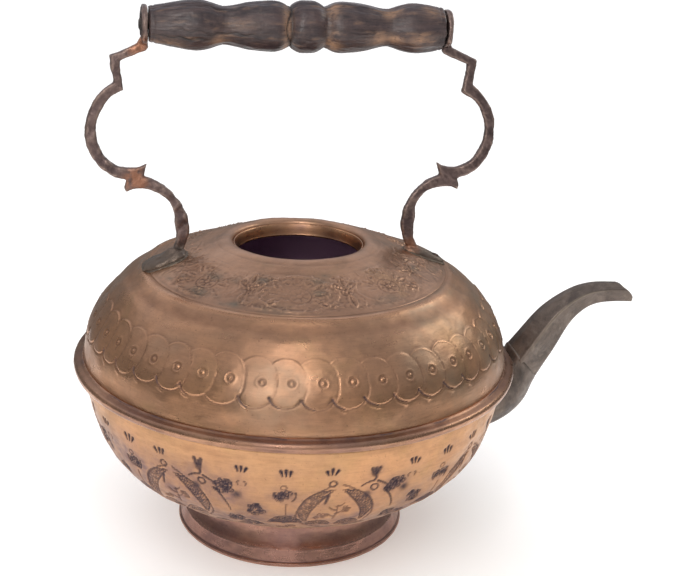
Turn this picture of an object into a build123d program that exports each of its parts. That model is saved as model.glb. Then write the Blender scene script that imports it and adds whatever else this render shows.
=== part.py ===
from build123d import *
import math
import os

# Copper kettle with a squat, folded-seam body, a ring foot, a long faceted spout and a fixed
# overhead handle whose turned wooden grip spins on a riveted rod.
#
# Frame: millimetres. The origin is the centre of the foot's resting face, +Z is up, the spout
# points to +X, and the handle and the spout lie in the plane y = 0.

# ---- driving dimensions -------------------------------------------------------------------
SHEET = 1.2  # copper sheet of the body
SPOUT_SHEET = 1.2
FIT_GAP = 0.05  # radial gap of a riveted or rolled-in piece in its hole
DRILL_LENGTH = 24.0

# foot
FOOT_RIM_RADIUS = 66.1
FOOT_BEAD_RADIUS = 1.3
FOOT_BEAD_FLAT = 0.15  # depth that standing has worn off the bead
FOOT_WIRE_RADIUS = 0.6
FOOT_BAND_START = (65.3, 2.2)  # where the flared band leaves the rolled rim
FOOT_STEP_RADIUS = 63.0
FOOT_STEP_HEIGHT = 8.3
FOOT_NECK_RADIUS = 57.2
FOOT_TOP_HEIGHT = 30.0  # before the bowl trims it
FOOT_ROLL_GAP = 0.3  # the rolled edge doesn't quite close on the inside

# bowl
BOWL_BASE_RADIUS = 50.0
BOWL_BASE_HEIGHT = 24.6
BOWL_RIM_RADIUS = 118.6

# folded seam that joins the bowl and the upper shell
SEAM_RADIUS = 125.0
SEAM_HEIGHT = 100.6  # plane between the two flanges
FLANGE_RADIUS = 123.6
BAND_TOP_HEIGHT = 104.5
BAND_BOTTOM_HEIGHT = 96.1
LIP_TOP = (123.6, 103.4)  # the strip's rounded outer lip
LIP_MIDDLE_HEIGHT = 101.4
LIP_BOTTOM = (124.2, 98.8)
RIM_BEND_BELOW = 95.4  # both walls stand upright from these heights to their flanges
RIM_BEND_ABOVE = 105.2

# upper shell
SHELL_RIM_RADIUS = 119.3
CREASE_RADIUS = 83.0  # where the dome meets the sloping shoulder
CREASE_HEIGHT = 154.6
SHOULDER_TOP_RADIUS = 48.0
SHOULDER_TOP_HEIGHT = 168.0
SHOULDER_SLOPE = (SHOULDER_TOP_HEIGHT - CREASE_HEIGHT) / (CREASE_RADIUS - SHOULDER_TOP_RADIUS)
MOUTH_RADIUS = 36.6
MOUTH_CREST_HEIGHT = 170.3
MOUTH_NECK_BOTTOM = 161.0

# lid seat inside the mouth
SEAT_RADIUS = 34.4
SEAT_LEDGE_RADIUS = 35.3
SEAT_TOP_HEIGHT = 167.0
SEAT_BOTTOM_HEIGHT = 161.5

# handle
GRIP_HEIGHT = 287.2  # axis of rod and grip
HANDLE_SHIFT = -3.6  # the hand-made handle sits this far towards the back at its top
FOOT_SHIFT = -1.0  # and this far at its feet
SHIFT_LOW = 170.0
SHIFT_HIGH = 215.0
ARM_DEPTH = 4.0
EYE_RADIUS = 10.5
EYE_INNER = 79.3  # inner face of the eye plate, from the handle's middle
EYE_THICKNESS = 3.0
ROD_RADIUS = 2.5
ROD_HEAD_RADIUS = 3.6
ROD_HEAD_HEIGHT = 0.8
ROD_HEAD_TAPER = 0.55  # outer radius of the hammered head as a share of its inner radius
WASHER_RADIUS = 5.8
WASHER_THICKNESS = 0.7
TONGUE_THICKNESS = 2.2
PAD_THICKNESS = 1.4
PAD_BEDDING = 1.0  # extra depth that is trimmed to the curved shoulder
TONGUE_SIDE_MARGIN = 2.0  # the pad shows this much around the arm's tongue
FOOT_INNER = 60.6  # near end of pads, from the handle's middle
FOOT_OUTER = 86.0
REAR_PAD_WIDTH = 19.0
FRONT_PAD_WIDTH = 12.0
RIVET_STATIONS = (69.5, 79.5)
RIVET_RADIUS = 1.8
RIVET_HEAD_RADIUS = 3.2
RIVET_HEAD_HEIGHT = 1.2
ROVE_RADIUS = 4.6
ROVE_THICKNESS = 1.0
ROVE_GAP = 0.15  # a flat rove against the inside of the curved shoulder

# grip
GRIP_BEAD_X = 0.5  # middle of the central bead
GRIP_REAR_LENGTH = 82.6
GRIP_FRONT_LENGTH = 73.9
GRIP_CLEARANCE = 0.06
GRIP_PROFILE = (  # distance from the bead's middle, radius
    (0.0, 13.6),
    (5.5, 12.9),
    (9.4, 11.0),
    (14.0, 12.5),
    (21.7, 13.1),
    (33.0, 11.7),
    (44.3, 9.9),
    (51.5, 12.0),
    (58.6, 13.0),
    (70.0, 11.6),
    (82.6, 9.2),
)

# spout: every section runs from a top point to a bottom point in the plane y = 0
ROOT_SECTIONS = (  # top (x, z), bottom (x, z), half width
    ((112.0, 93.2), (100.0, 47.0), 18.0),
    ((125.3, 96.4), (131.0, 58.5), 16.5),
    ((126.2, 98.6), (141.2, 69.8), 15.2),
    ((127.6, 101.4), (145.2, 80.2), 13.6),
)
SLEEVE_STEP = 0.7  # the beak stands this much proud of the root where they meet
BEAK_SECTIONS = (
    ((134.8, 110.0), (152.0, 93.5), 12.4),
    ((143.2, 120.8), (157.6, 103.4), 11.0),
    ((151.6, 128.8), (163.6, 114.6), 9.7),
    ((160.3, 134.6), (168.8, 121.0), 8.6),
    ((169.2, 138.5), (175.0, 125.7), 7.6),
    ((178.5, 140.2), (181.6, 127.9), 6.9),
    ((187.9, 140.2), (189.0, 128.5), 6.4),
    ((207.0, 139.4), (206.0, 127.9), 5.9),
)
RIDGE_LEVEL = 0.5  # height of the side ridges above the section's middle, in half heights
FLAT_SHARE = 0.28  # width of the top and bottom facets, in full widths
MOUTH_CUT_TOP = (190.5, 140.4)
MOUTH_CUT_BOTTOM = (203.4, 128.8)
TIP_BLUNTING = 0.2  # the cut's sharp lower point is filed off this far beyond it
TIP_BLOCK = 40.0  # size of the block that cuts the tip
SPOUT_HOLE_RADIUS = 13.0
SPOUT_HOLE_HEIGHT = 72.0


# ---- helpers ------------------------------------------------------------------------------
def inset(points, distance):
    """The same open outline moved to its left by a distance, walking from first to last."""
    moved = []
    for i, (r, z) in enumerate(points):
        before = points[max(i - 1, 0)]
        after = points[min(i + 1, len(points) - 1)]
        run = after[0] - before[0]
        rise = after[1] - before[1]
        length = math.hypot(run, rise)
        moved.append((r - distance * rise / length, z + distance * run / length))
    return moved


def smooth(points):
    """A smooth curve through (r, z) points in the XZ plane."""
    return Spline(*[(r, 0, z) for r, z in points])


def straight(*points):
    """Straight runs through (r, z) points in the XZ plane."""
    return Polyline(*[(r, 0, z) for r, z in points])


def spun(*edges):
    """The ring made by turning a closed outline in the XZ plane about the kettle's axis."""
    face = make_face([e for group in edges for e in group.edges()])
    return revolve(face, Axis.Z, 360).solid()


def save(shape, node):
    """Write one node, and make sure that it holds only whole solids."""
    solids = shape.solids()
    for solid in solids:
        assert solid.is_valid, node
    result = solids[0] if len(solids) == 1 else Compound(children=list(solids))
    export_step(result, f"parts/{node}.step")


# ---- body outlines, from the bottom up ----------------------------------------------------
BOWL_SIDE = [
    (BOWL_BASE_RADIUS, BOWL_BASE_HEIGHT),
    (62.0, 27.2),
    (76.0, 32.0),
    (90.0, 38.6),
    (102.1, 48.6),
    (110.0, 60.2),
    (115.0, 75.0),
    (117.8, 87.0),
    (BOWL_RIM_RADIUS, RIM_BEND_BELOW),
]
SHELL_DOME = [
    (SHELL_RIM_RADIUS, RIM_BEND_ABOVE),
    (118.5, 111.5),
    (117.0, 119.6),
    (112.6, 129.0),
    (103.8, 140.4),
    (93.0, 150.2),
    (CREASE_RADIUS, CREASE_HEIGHT),
]
SHELL_TOP = [
    (SHOULDER_TOP_RADIUS, SHOULDER_TOP_HEIGHT),
    (43.5, 169.7),
    (39.0, MOUTH_CREST_HEIGHT),
    (37.1, 169.3),
    (MOUTH_RADIUS, 167.2),
]


def bowl_outline_solid():
    """Everything inside the bowl's outer surface, used to trim what is fixed on it."""
    axis_bottom = (0, BOWL_BASE_HEIGHT)
    axis_top = (0, SEAM_HEIGHT - SHEET)
    rim = (BOWL_RIM_RADIUS, axis_top[1])
    return spun(
        smooth(BOWL_SIDE),
        straight(BOWL_SIDE[-1], rim, axis_top, axis_bottom, BOWL_SIDE[0]),
    )


def shell_outline_solid():
    """Everything inside the upper shell's outer surface, used to trim the handle's feet."""
    axis_bottom = (0, RIM_BEND_ABOVE)
    axis_top = (0, SHOULDER_TOP_HEIGHT)
    return spun(
        smooth(SHELL_DOME),
        straight(SHELL_DOME[-1], SHELL_TOP[0], axis_top, axis_bottom, SHELL_DOME[0]),
    )


def lower_bowl():
    """Raised bowl with a flat base and a turned-out rim flange, open at the top."""
    inner = inset(BOWL_SIDE, SHEET)
    inner[0] = (BOWL_BASE_RADIUS, BOWL_BASE_HEIGHT + SHEET)
    inner[-1] = (BOWL_RIM_RADIUS - SHEET, RIM_BEND_BELOW)
    bowl = spun(
        smooth(BOWL_SIDE),
        straight(
            BOWL_SIDE[-1],
            (BOWL_RIM_RADIUS, SEAM_HEIGHT - SHEET),
            (FLANGE_RADIUS, SEAM_HEIGHT - SHEET),
            (FLANGE_RADIUS, SEAM_HEIGHT),
            (BOWL_RIM_RADIUS - SHEET, SEAM_HEIGHT),
            inner[-1],
        ),
        smooth(inner),
        straight(inner[0], (0, inner[0][1]), (0, BOWL_BASE_HEIGHT), BOWL_SIDE[0]),
    )
    hole = Cylinder(SPOUT_HOLE_RADIUS, DRILL_LENGTH, rotation=(0, 90, 0))
    return bowl - Pos(BOWL_RIM_RADIUS - DRILL_LENGTH / 4, 0, SPOUT_HOLE_HEIGHT) * hole


def upper_shell():
    """Dome, sloping shoulder and turned-down mouth in one sheet, with a rim flange."""
    dome_inner = inset(SHELL_DOME, SHEET)
    dome_inner[0] = (SHELL_RIM_RADIUS - SHEET, RIM_BEND_ABOVE)
    dome_inner[-1] = (CREASE_RADIUS - 0.3, CREASE_HEIGHT - SHEET)
    top_inner = inset(SHELL_TOP, SHEET)
    neck = (MOUTH_RADIUS, MOUTH_NECK_BOTTOM)
    neck_inner = (MOUTH_RADIUS + SHEET, MOUTH_NECK_BOTTOM)
    top_inner[-1] = (MOUTH_RADIUS + SHEET, SHELL_TOP[-1][1])
    return spun(
        smooth(SHELL_DOME),
        straight(SHELL_DOME[-1], SHELL_TOP[0]),
        smooth(SHELL_TOP),
        straight(SHELL_TOP[-1], neck, neck_inner, top_inner[-1]),
        smooth(top_inner),
        straight(top_inner[0], dome_inner[-1]),
        smooth(dome_inner),
        straight(
            dome_inner[0],
            (SHELL_RIM_RADIUS - SHEET, SEAM_HEIGHT),
            (FLANGE_RADIUS, SEAM_HEIGHT),
            (FLANGE_RADIUS, SEAM_HEIGHT + SHEET),
            (SHELL_RIM_RADIUS, SEAM_HEIGHT + SHEET),
            SHELL_DOME[0],
        ),
    )


def seam_band():
    """U-shaped strip folded over both flanges."""
    top_inner = (SHELL_RIM_RADIUS, BAND_TOP_HEIGHT)
    bottom_inner = (BOWL_RIM_RADIUS, BAND_BOTTOM_HEIGHT)
    lip = ThreePointArc(
        (LIP_TOP[0], 0, LIP_TOP[1]),
        (SEAM_RADIUS, 0, LIP_MIDDLE_HEIGHT),
        (LIP_BOTTOM[0], 0, LIP_BOTTOM[1]),
    )
    return spun(
        straight(top_inner, LIP_TOP),
        lip,
        straight(
            LIP_BOTTOM,
            bottom_inner,
            (BOWL_RIM_RADIUS, SEAM_HEIGHT - SHEET),
            (FLANGE_RADIUS, SEAM_HEIGHT - SHEET),
            (FLANGE_RADIUS, SEAM_HEIGHT + SHEET),
            (SHELL_RIM_RADIUS, SEAM_HEIGHT + SHEET),
            top_inner,
        ),
    )


def mouth_collar():
    """Stepped ring soldered inside the mouth, where a lid would seat."""
    return spun(
        straight(
            (MOUTH_RADIUS, SEAT_BOTTOM_HEIGHT),
            (MOUTH_RADIUS, SEAT_TOP_HEIGHT),
            (SEAT_LEDGE_RADIUS + 0.3, SEAT_TOP_HEIGHT),
            (SEAT_LEDGE_RADIUS, SEAT_TOP_HEIGHT - 0.8),
            (SEAT_LEDGE_RADIUS, SEAT_TOP_HEIGHT - 1.8),
            (SEAT_RADIUS, SEAT_TOP_HEIGHT - 2.4),
            (SEAT_RADIUS, SEAT_BOTTOM_HEIGHT),
            (MOUTH_RADIUS, SEAT_BOTTOM_HEIGHT),
        )
    )


# ---- foot ---------------------------------------------------------------------------------
BEAD_CENTRE_RADIUS = FOOT_RIM_RADIUS - FOOT_BEAD_RADIUS
BEAD_CENTRE_HEIGHT = FOOT_BEAD_RADIUS - FOOT_BEAD_FLAT


def ring_foot():
    """Spun foot ring: rolled rim, flared band, step, and a neck that meets the bowl."""
    outer = [
        (FOOT_STEP_RADIUS - 1.2, FOOT_STEP_HEIGHT + 0.6),
        (FOOT_NECK_RADIUS + 0.6, 13.5),
        (FOOT_NECK_RADIUS, 19.0),
        (FOOT_NECK_RADIUS + 1.6, FOOT_TOP_HEIGHT),
    ]
    inner = inset(outer, SHEET)
    inner[-1] = (outer[-1][0] - SHEET, FOOT_TOP_HEIGHT)
    wall = spun(
        straight(FOOT_BAND_START, (FOOT_STEP_RADIUS, FOOT_STEP_HEIGHT), outer[0]),
        smooth(outer),
        straight(outer[-1], inner[-1]),
        smooth(inner),
        straight(inner[0], (FOOT_BAND_START[0] - 1.6, FOOT_BAND_START[1] - 0.2), FOOT_BAND_START),
    )
    bead = revolve(
        Plane.XZ * Pos(BEAD_CENTRE_RADIUS, BEAD_CENTRE_HEIGHT) * Circle(FOOT_BEAD_RADIUS),
        Axis.Z,
        360,
    )
    wire_space = revolve(
        Plane.XZ
        * Pos(BEAD_CENTRE_RADIUS, BEAD_CENTRE_HEIGHT)
        * Circle(FOOT_WIRE_RADIUS + FIT_GAP),
        Axis.Z,
        360,
    )
    slit = revolve(
        Plane.XZ
        * Pos(BEAD_CENTRE_RADIUS - FOOT_BEAD_RADIUS, BEAD_CENTRE_HEIGHT)
        * Rectangle(2 * FOOT_BEAD_RADIUS, FOOT_ROLL_GAP),
        Axis.Z,
        360,
    )
    depth = 2 * FOOT_BEAD_RADIUS
    ground = Pos(0, 0, -depth / 2) * Box(4 * FOOT_RIM_RADIUS, 4 * FOOT_RIM_RADIUS, depth)
    return wall + bead - wire_space - slit - ground - bowl_outline_solid()


def foot_rim_wire():
    """Iron wire that the foot's rim is rolled around."""
    circle = Plane.XZ * Pos(BEAD_CENTRE_RADIUS, BEAD_CENTRE_HEIGHT) * Circle(FOOT_WIRE_RADIUS)
    return revolve(circle, Axis.Z, 360)


# ---- spout --------------------------------------------------------------------------------
def section_plane(top, bottom):
    """Plane of a spout section: its local x is the kettle's Y, its local y runs to the top."""
    middle = ((top[0] + bottom[0]) / 2, 0, (top[1] + bottom[1]) / 2)
    upward = Vector(top[0] - bottom[0], 0, top[1] - bottom[1]).normalized()
    return Plane(origin=middle, x_dir=(0, 1, 0), z_dir=Vector(0, 1, 0).cross(upward))


def oval_section(top, bottom, half_width, wall):
    half_height = math.dist(top, bottom) / 2
    return section_plane(top, bottom) * Ellipse(half_width - wall, half_height - wall)


def facet_section(top, bottom, half_width, wall):
    half_height = math.dist(top, bottom) / 2 - wall
    half_width = half_width - wall
    flat = FLAT_SHARE * half_width
    ridge = RIDGE_LEVEL * half_height
    corners = [
        (flat, half_height),
        (half_width, ridge),
        (flat, -half_height),
        (-flat, -half_height),
        (-half_width, ridge),
        (-flat, half_height),
    ]
    return section_plane(top, bottom) * make_face(Polyline(*corners, close=True))


def widened(section, margin):
    """A spout section grown by a margin all round, in its own plane."""
    top, bottom, half_width = section
    share = margin / math.dist(top, bottom)
    out_x = (top[0] - bottom[0]) * share
    out_z = (top[1] - bottom[1]) * share
    grown_top = (top[0] + out_x, top[1] + out_z)
    grown_bottom = (bottom[0] - out_x, bottom[1] - out_z)
    return grown_top, grown_bottom, half_width + margin


def tube(sections, section, wall):
    """Loft through spout sections, each drawn in by the wall."""
    return loft([section(*s, wall) for s in sections], ruled=True)


def spout_root():
    """Swelling lower elbow of the spout, fitted to the bowl's wall."""
    hollow = tube(ROOT_SECTIONS, oval_section, SPOUT_SHEET)
    return tube(ROOT_SECTIONS, oval_section, 0) - hollow - bowl_outline_solid()


def spout_beak():
    """Six-sided tapering upper length of the spout, cut obliquely at its lip."""
    sections = (widened(ROOT_SECTIONS[-1], SLEEVE_STEP),) + BEAK_SECTIONS
    beak = tube(sections, facet_section, 0) - tube(sections, facet_section, SPOUT_SHEET)
    run = MOUTH_CUT_BOTTOM[0] - MOUTH_CUT_TOP[0]
    drop = MOUTH_CUT_TOP[1] - MOUTH_CUT_BOTTOM[1]
    angle = math.degrees(math.atan2(drop, run))
    middle_x = (MOUTH_CUT_TOP[0] + MOUTH_CUT_BOTTOM[0]) / 2
    middle_z = (MOUTH_CUT_TOP[1] + MOUTH_CUT_BOTTOM[1]) / 2
    block = Box(2 * TIP_BLOCK, TIP_BLOCK, TIP_BLOCK)
    cutter = Pos(middle_x, 0, middle_z) * Rot(0, angle, 0) * Pos(0, 0, TIP_BLOCK / 2) * block
    tip_x = MOUTH_CUT_BOTTOM[0] + TIP_BLUNTING + TIP_BLOCK
    return beak - cutter - Pos(tip_x, 0, middle_z) * block


# ---- handle -------------------------------------------------------------------------------
def placed(side, u, z):
    """Point of the handle: u is its distance from the handle's middle, on side +1 or -1."""
    share = min(max((z - SHIFT_LOW) / (SHIFT_HIGH - SHIFT_LOW), 0), 1)
    return (side * u + FOOT_SHIFT + (HANDLE_SHIFT - FOOT_SHIFT) * share, 0, z)


def arm_face(side):
    """Flat outline of one scrolled arm, from its eye down to its foot."""

    def line(*points):
        return Polyline(*[placed(side, u, z) for u, z in points])

    def arc(*points):
        return ThreePointArc(*[placed(side, u, z) for u, z in points])

    outer = [
        line((82.3, 290), (82.3, 281), (84.8, 276.9), (99.0, 271.0), (97.4, 258.2), (97.2, 257.0)),
        arc((97.2, 257.0), (107.4, 247.2), (111.9, 232.0)),
        arc((111.9, 232.0), (107.6, 214.8), (91.8, 204.6)),
        line((91.8, 204.6), (93.0, 200.4), (92.2, 197.6)),
        arc((92.2, 197.6), (84.8, 199.8), (77.0, 198.2)),
        arc((77.0, 198.2), (70.2, 193.0), (67.4, 182.0)),
        line((67.4, 182.0), (66.7, 170.0), (70.0, 160.8)),
    ]
    inner = [
        line((70.0, 160.8), (64.0, 162.6)),
        arc((64.0, 162.6), (59.7, 174.6), (61.1, 186.0)),
        arc((61.1, 186.0), (68.4, 198.2), (81.9, 206.4)),
        line((81.9, 206.4), (80.6, 210.5), (79.8, 213.9)),
        arc((79.8, 213.9), (90.0, 210.9), (99.6, 214.2)),
        arc((99.6, 214.2), (106.5, 232.0), (97.5, 249.9)),
        line((97.5, 249.9), (91.8, 253.0), (93.8, 268.5), (80.0, 273.7), (78.3, 275.0)),
        line((78.3, 275.0), (79.3, 281.0), (79.3, 290), (82.3, 290)),
    ]
    return make_face([e for piece in outer + inner for e in piece.edges()])


def shoulder_frame(side, station, lift):
    """Location on the sloping shoulder at a distance from the middle, lifted off its surface."""
    x = side * station + FOOT_SHIFT
    z = CREASE_HEIGHT + (CREASE_RADIUS - abs(x)) * SHOULDER_SLOPE
    tilt = side * math.degrees(math.atan(SHOULDER_SLOPE))
    return Pos(x, 0, z) * Rot(0, tilt, 0) * Pos(0, 0, lift)


def foot_slab(side, width, thickness, lift, inner_end, outer_end):
    """Round-ended slab lying on the shoulder."""
    middle = (inner_end + outer_end) / 2
    length = (outer_end - inner_end) * math.hypot(1, SHOULDER_SLOPE)
    slab = extrude(SlotOverall(length, width), thickness)
    return shoulder_frame(side, middle, lift) * slab


def rivet_holes(side):
    """Drills for the two rivets of one foot."""
    drill = Cylinder(RIVET_RADIUS + FIT_GAP, DRILL_LENGTH)
    return [shoulder_frame(side, s, 0) * drill for s in RIVET_STATIONS]


def foot_pad(side, width):
    """Oval plate between the arm's foot and the shoulder."""
    thickness = PAD_THICKNESS + PAD_BEDDING
    slab = foot_slab(side, width, thickness, -PAD_BEDDING, FOOT_INNER, FOOT_OUTER)
    pad = slab - shell_outline_solid()
    for hole in rivet_holes(side):
        pad = pad - hole
    return pad


def handle_arm(side, width):
    """Arm cut from plate, with an eye for the rod and a flattened foot."""
    web = extrude(arm_face(side), ARM_DEPTH / 2, both=True)
    eye_x = placed(side, EYE_INNER + EYE_THICKNESS / 2, GRIP_HEIGHT)[0]
    eye = Pos(eye_x, 0, GRIP_HEIGHT) * Cylinder(EYE_RADIUS, EYE_THICKNESS, rotation=(0, 90, 0))
    tongue = foot_slab(
        side,
        width - 2 * TONGUE_SIDE_MARGIN,
        TONGUE_THICKNESS,
        PAD_THICKNESS,
        FOOT_INNER + TONGUE_SIDE_MARGIN / 2,
        FOOT_OUTER - TONGUE_SIDE_MARGIN / 2,
    )
    # nothing of the web reaches below the pad's upper face
    block = 20.0
    middle = (FOOT_INNER + FOOT_OUTER) / 2
    below = shoulder_frame(side, middle, PAD_THICKNESS - block / 2) * Box(3 * block, 2 * block, block)
    rod_hole = Pos(eye_x, 0, GRIP_HEIGHT) * Cylinder(
        ROD_RADIUS + FIT_GAP, DRILL_LENGTH, rotation=(0, 90, 0)
    )
    arm = web - below + eye + tongue - rod_hole
    for hole in rivet_holes(side):
        arm = arm - hole
    return arm


def foot_rivets(side):
    """Two rivets per foot, hammered flush on top, with heads under the roves."""
    top = PAD_THICKNESS + TONGUE_THICKNESS
    bottom = -SHEET - ROVE_GAP - ROVE_THICKNESS
    shank = extrude(Circle(RIVET_RADIUS), top - bottom)
    head = extrude(Circle(RIVET_HEAD_RADIUS), RIVET_HEAD_HEIGHT)
    rivet = Pos(0, 0, bottom) * shank + Pos(0, 0, bottom - RIVET_HEAD_HEIGHT) * head
    return Compound(children=[shoulder_frame(side, s, 0) * rivet.solid() for s in RIVET_STATIONS])


def rivet_roves(side):
    """Washers on the inside of the shoulder under the rivet heads."""
    ring = Circle(ROVE_RADIUS) - Circle(RIVET_RADIUS + FIT_GAP)
    rove = extrude(ring, ROVE_THICKNESS).solid()
    lift = -SHEET - ROVE_GAP - ROVE_THICKNESS
    return Compound(children=[shoulder_frame(side, s, lift) * rove for s in RIVET_STATIONS])


def grip_outline():
    """Turned profile of the grip above its axis, from its rear end to its front end."""
    reach = {-1: GRIP_REAR_LENGTH, 1: GRIP_FRONT_LENGTH}
    points = []
    for side in (-1, 1):
        half = [p for p in GRIP_PROFILE if p[0] < reach[side]]
        before = half[-1]
        after = GRIP_PROFILE[min(len(half), len(GRIP_PROFILE) - 1)]
        share = (reach[side] - before[0]) / max(after[0] - before[0], 1e-6)
        half.append((reach[side], before[1] + share * (after[1] - before[1])))
        points += [(GRIP_BEAD_X + side * d, GRIP_HEIGHT + r) for d, r in half]
    return sorted(set(points))


def wooden_grip():
    """Turned hardwood grip, bored for the rod."""
    outline = grip_outline()
    ends = [outline[-1], (outline[-1][0], GRIP_HEIGHT), (outline[0][0], GRIP_HEIGHT), outline[0]]
    face = make_face(smooth(outline).edges() + straight(*ends).edges())
    axis = Axis((0, 0, GRIP_HEIGHT), (1, 0, 0))
    length = 2 * (GRIP_REAR_LENGTH + GRIP_FRONT_LENGTH)
    bore = Cylinder(ROD_RADIUS + GRIP_CLEARANCE, length, rotation=(0, 90, 0))
    return revolve(face, axis, 360) - Pos(0, 0, GRIP_HEIGHT) * bore


def rod_end(side):
    """Where the rod's head starts on one side: outside the eye plate and its washer."""
    return placed(side, EYE_INNER + EYE_THICKNESS + WASHER_THICKNESS, GRIP_HEIGHT)[0]


def grip_rod():
    """Iron rod through grip and eyes, its ends hammered over."""
    rear, front = rod_end(-1), rod_end(1)
    rod = Pos((rear + front) / 2, 0, GRIP_HEIGHT) * Cylinder(
        ROD_RADIUS, front - rear, rotation=(0, 90, 0)
    )
    for side, x in ((-1, rear), (1, front)):
        cap = Cone(ROD_HEAD_RADIUS, ROD_HEAD_RADIUS * ROD_HEAD_TAPER, ROD_HEAD_HEIGHT)
        rod = rod + Pos(x + side * ROD_HEAD_HEIGHT / 2, 0, GRIP_HEIGHT) * Rot(0, side * 90, 0) * cap
    return rod


def rod_washer(side):
    """Thin washer between the eye plate and the rod's hammered end."""
    ring = Circle(WASHER_RADIUS) - Circle(ROD_RADIUS + FIT_GAP)
    x = rod_end(side) - side * WASHER_THICKNESS
    return Pos(x, 0, GRIP_HEIGHT) * Rot(0, side * 90, 0) * extrude(ring, WASHER_THICKNESS)


# ---- nodes --------------------------------------------------------------------------------
os.makedirs("parts", exist_ok=True)

shell = upper_shell()
for side in (-1, 1):
    for hole in rivet_holes(side):
        shell = shell - hole

save(lower_bowl(), "lower_bowl")
save(shell, "upper_shell")
save(seam_band(), "seam_band")
save(mouth_collar(), "mouth_collar")
save(ring_foot(), "ring_foot")
save(foot_rim_wire(), "foot_rim_wire")
save(spout_root(), "spout_root")
save(spout_beak(), "spout_beak")
save(wooden_grip(), "wooden_grip")
save(grip_rod(), "grip_rod")
for place, side, pad_width in (("rear", -1, REAR_PAD_WIDTH), ("front", 1, FRONT_PAD_WIDTH)):
    save(handle_arm(side, pad_width), f"{place}_arm")
    save(foot_pad(side, pad_width), f"{place}_foot_pad")
    save(foot_rivets(side), f"{place}_foot_rivets")
    save(rivet_roves(side), f"{place}_rivet_roves")
    save(rod_washer(side), f"{place}_rod_washer")
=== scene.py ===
import math

import bmesh
import bpy
import numpy as np
from mathutils import Matrix, Vector


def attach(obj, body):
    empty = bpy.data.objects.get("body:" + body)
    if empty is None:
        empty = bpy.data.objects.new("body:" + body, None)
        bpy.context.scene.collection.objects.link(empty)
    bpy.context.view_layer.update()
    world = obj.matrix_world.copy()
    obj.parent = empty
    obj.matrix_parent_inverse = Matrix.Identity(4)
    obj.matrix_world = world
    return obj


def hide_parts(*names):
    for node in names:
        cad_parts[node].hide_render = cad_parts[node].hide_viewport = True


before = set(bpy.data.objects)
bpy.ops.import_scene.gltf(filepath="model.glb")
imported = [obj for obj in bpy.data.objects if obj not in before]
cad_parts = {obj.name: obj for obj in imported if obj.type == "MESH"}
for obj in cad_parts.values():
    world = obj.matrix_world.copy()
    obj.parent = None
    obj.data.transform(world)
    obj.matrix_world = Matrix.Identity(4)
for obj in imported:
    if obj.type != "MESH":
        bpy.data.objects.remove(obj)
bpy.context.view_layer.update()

# Copper kettle with an embossed dome, a chased bowl, a folded seam, a ring foot, a faceted spout
# and a scrolled handle with a turned wooden grip. Lengths are in millimetres until a mesh is made.
MM = 0.001
TAU = 2 * math.pi
FRONT = math.radians(260.5)  # direction from the kettle's axis to the viewer


# ---- outlines of the body, from part.py -----------------------------------------------------
SEAM_BOTTOM = (118.6, 96.1)
SEAM_TOP = (119.3, 104.5)
BOWL_SIDE = [
    (118.6, 95.4),
    (117.8, 87.0),
    (115.0, 75.0),
    (110.0, 60.2),
    (102.1, 48.6),
    (90.0, 38.6),
    (76.0, 32.0),
    (62.0, 27.2),
    (50.0, 24.6),
]
DOME_SIDE = [
    (119.3, 105.2),
    (118.5, 111.5),
    (117.0, 119.6),
    (112.6, 129.0),
    (103.8, 140.4),
    (93.0, 150.2),
    (83.0, 154.6),
]
CREASE = DOME_SIDE[-1]
SHOULDER_TOP = (48.0, 168.0)
MOUTH_SIDE = [SHOULDER_TOP, (43.5, 169.7), (39.0, 170.3), (37.1, 169.3), (36.6, 167.2)]
MOUTH_RADIUS = MOUTH_SIDE[-1][0]
NECK_BOTTOM = 161.0
SHEET = 1.2
SHOULDER_SLOPE = (SHOULDER_TOP[1] - CREASE[1]) / (CREASE[0] - SHOULDER_TOP[0])


# ---- curves and numbers ---------------------------------------------------------------------
def smoothstep(low, high, value):
    t = np.clip((value - low) / (high - low), 0, 1)
    return t * t * (3 - 2 * t)


def run_length(points):
    """Distance of each point along a polyline from its start."""
    p = np.array(points, float)
    return np.concatenate([[0], np.cumsum(np.linalg.norm(np.diff(p, axis=0), axis=1))])


def between(places, known, points):
    """Points at some places along a line whose points are known at other places."""
    return np.stack([np.interp(places, known, points[:, i]) for i in range(points.shape[1])], axis=1)


def full_turn(segments):
    """Angles round a body, as one row."""
    return np.arange(segments)[None, :] * TAU / segments


def curve(points, count):
    """Smooth curve through points, sampled at evenly spaced places along it."""
    p = np.array(points, float)
    n = len(p)
    t = run_length(p)
    h = np.diff(t)
    system = np.eye(n)
    target = np.zeros_like(p)
    for i in range(1, n - 1):
        system[i, i - 1:i + 2] = h[i - 1], 2 * (h[i - 1] + h[i]), h[i]
        target[i] = 6 * ((p[i + 1] - p[i]) / h[i] - (p[i] - p[i - 1]) / h[i - 1])
    bend = np.linalg.solve(system, target)
    s = np.linspace(0, t[-1], count)
    k = np.clip(np.searchsorted(t, s, side="right") - 1, 0, n - 2)
    a = ((t[k + 1] - s) / h[k])[:, None]
    b = ((s - t[k]) / h[k])[:, None]
    step = (h[k] ** 2)[:, None] / 6
    return a * p[k] + b * p[k + 1] + ((a ** 3 - a) * bend[k] + (b ** 3 - b) * bend[k + 1]) * step


def walk(points, spacing):
    """Places along a polyline at a spacing that is a number or a function of the point."""
    p = np.array(points, float)
    t = run_length(p)
    fine = np.linspace(0, t[-1], max(int(t[-1] / 0.1), 40))
    if callable(spacing):
        gap = np.array([spacing(q) for q in between(fine, t, p)])
    else:
        gap = np.full(len(fine), float(spacing))
    density = np.concatenate([[0], np.cumsum(np.diff(fine) / gap[1:])])
    steps = np.linspace(0, density[-1], max(int(round(density[-1])), 1) + 1)
    return between(np.interp(steps, density, fine), t, p)


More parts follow.
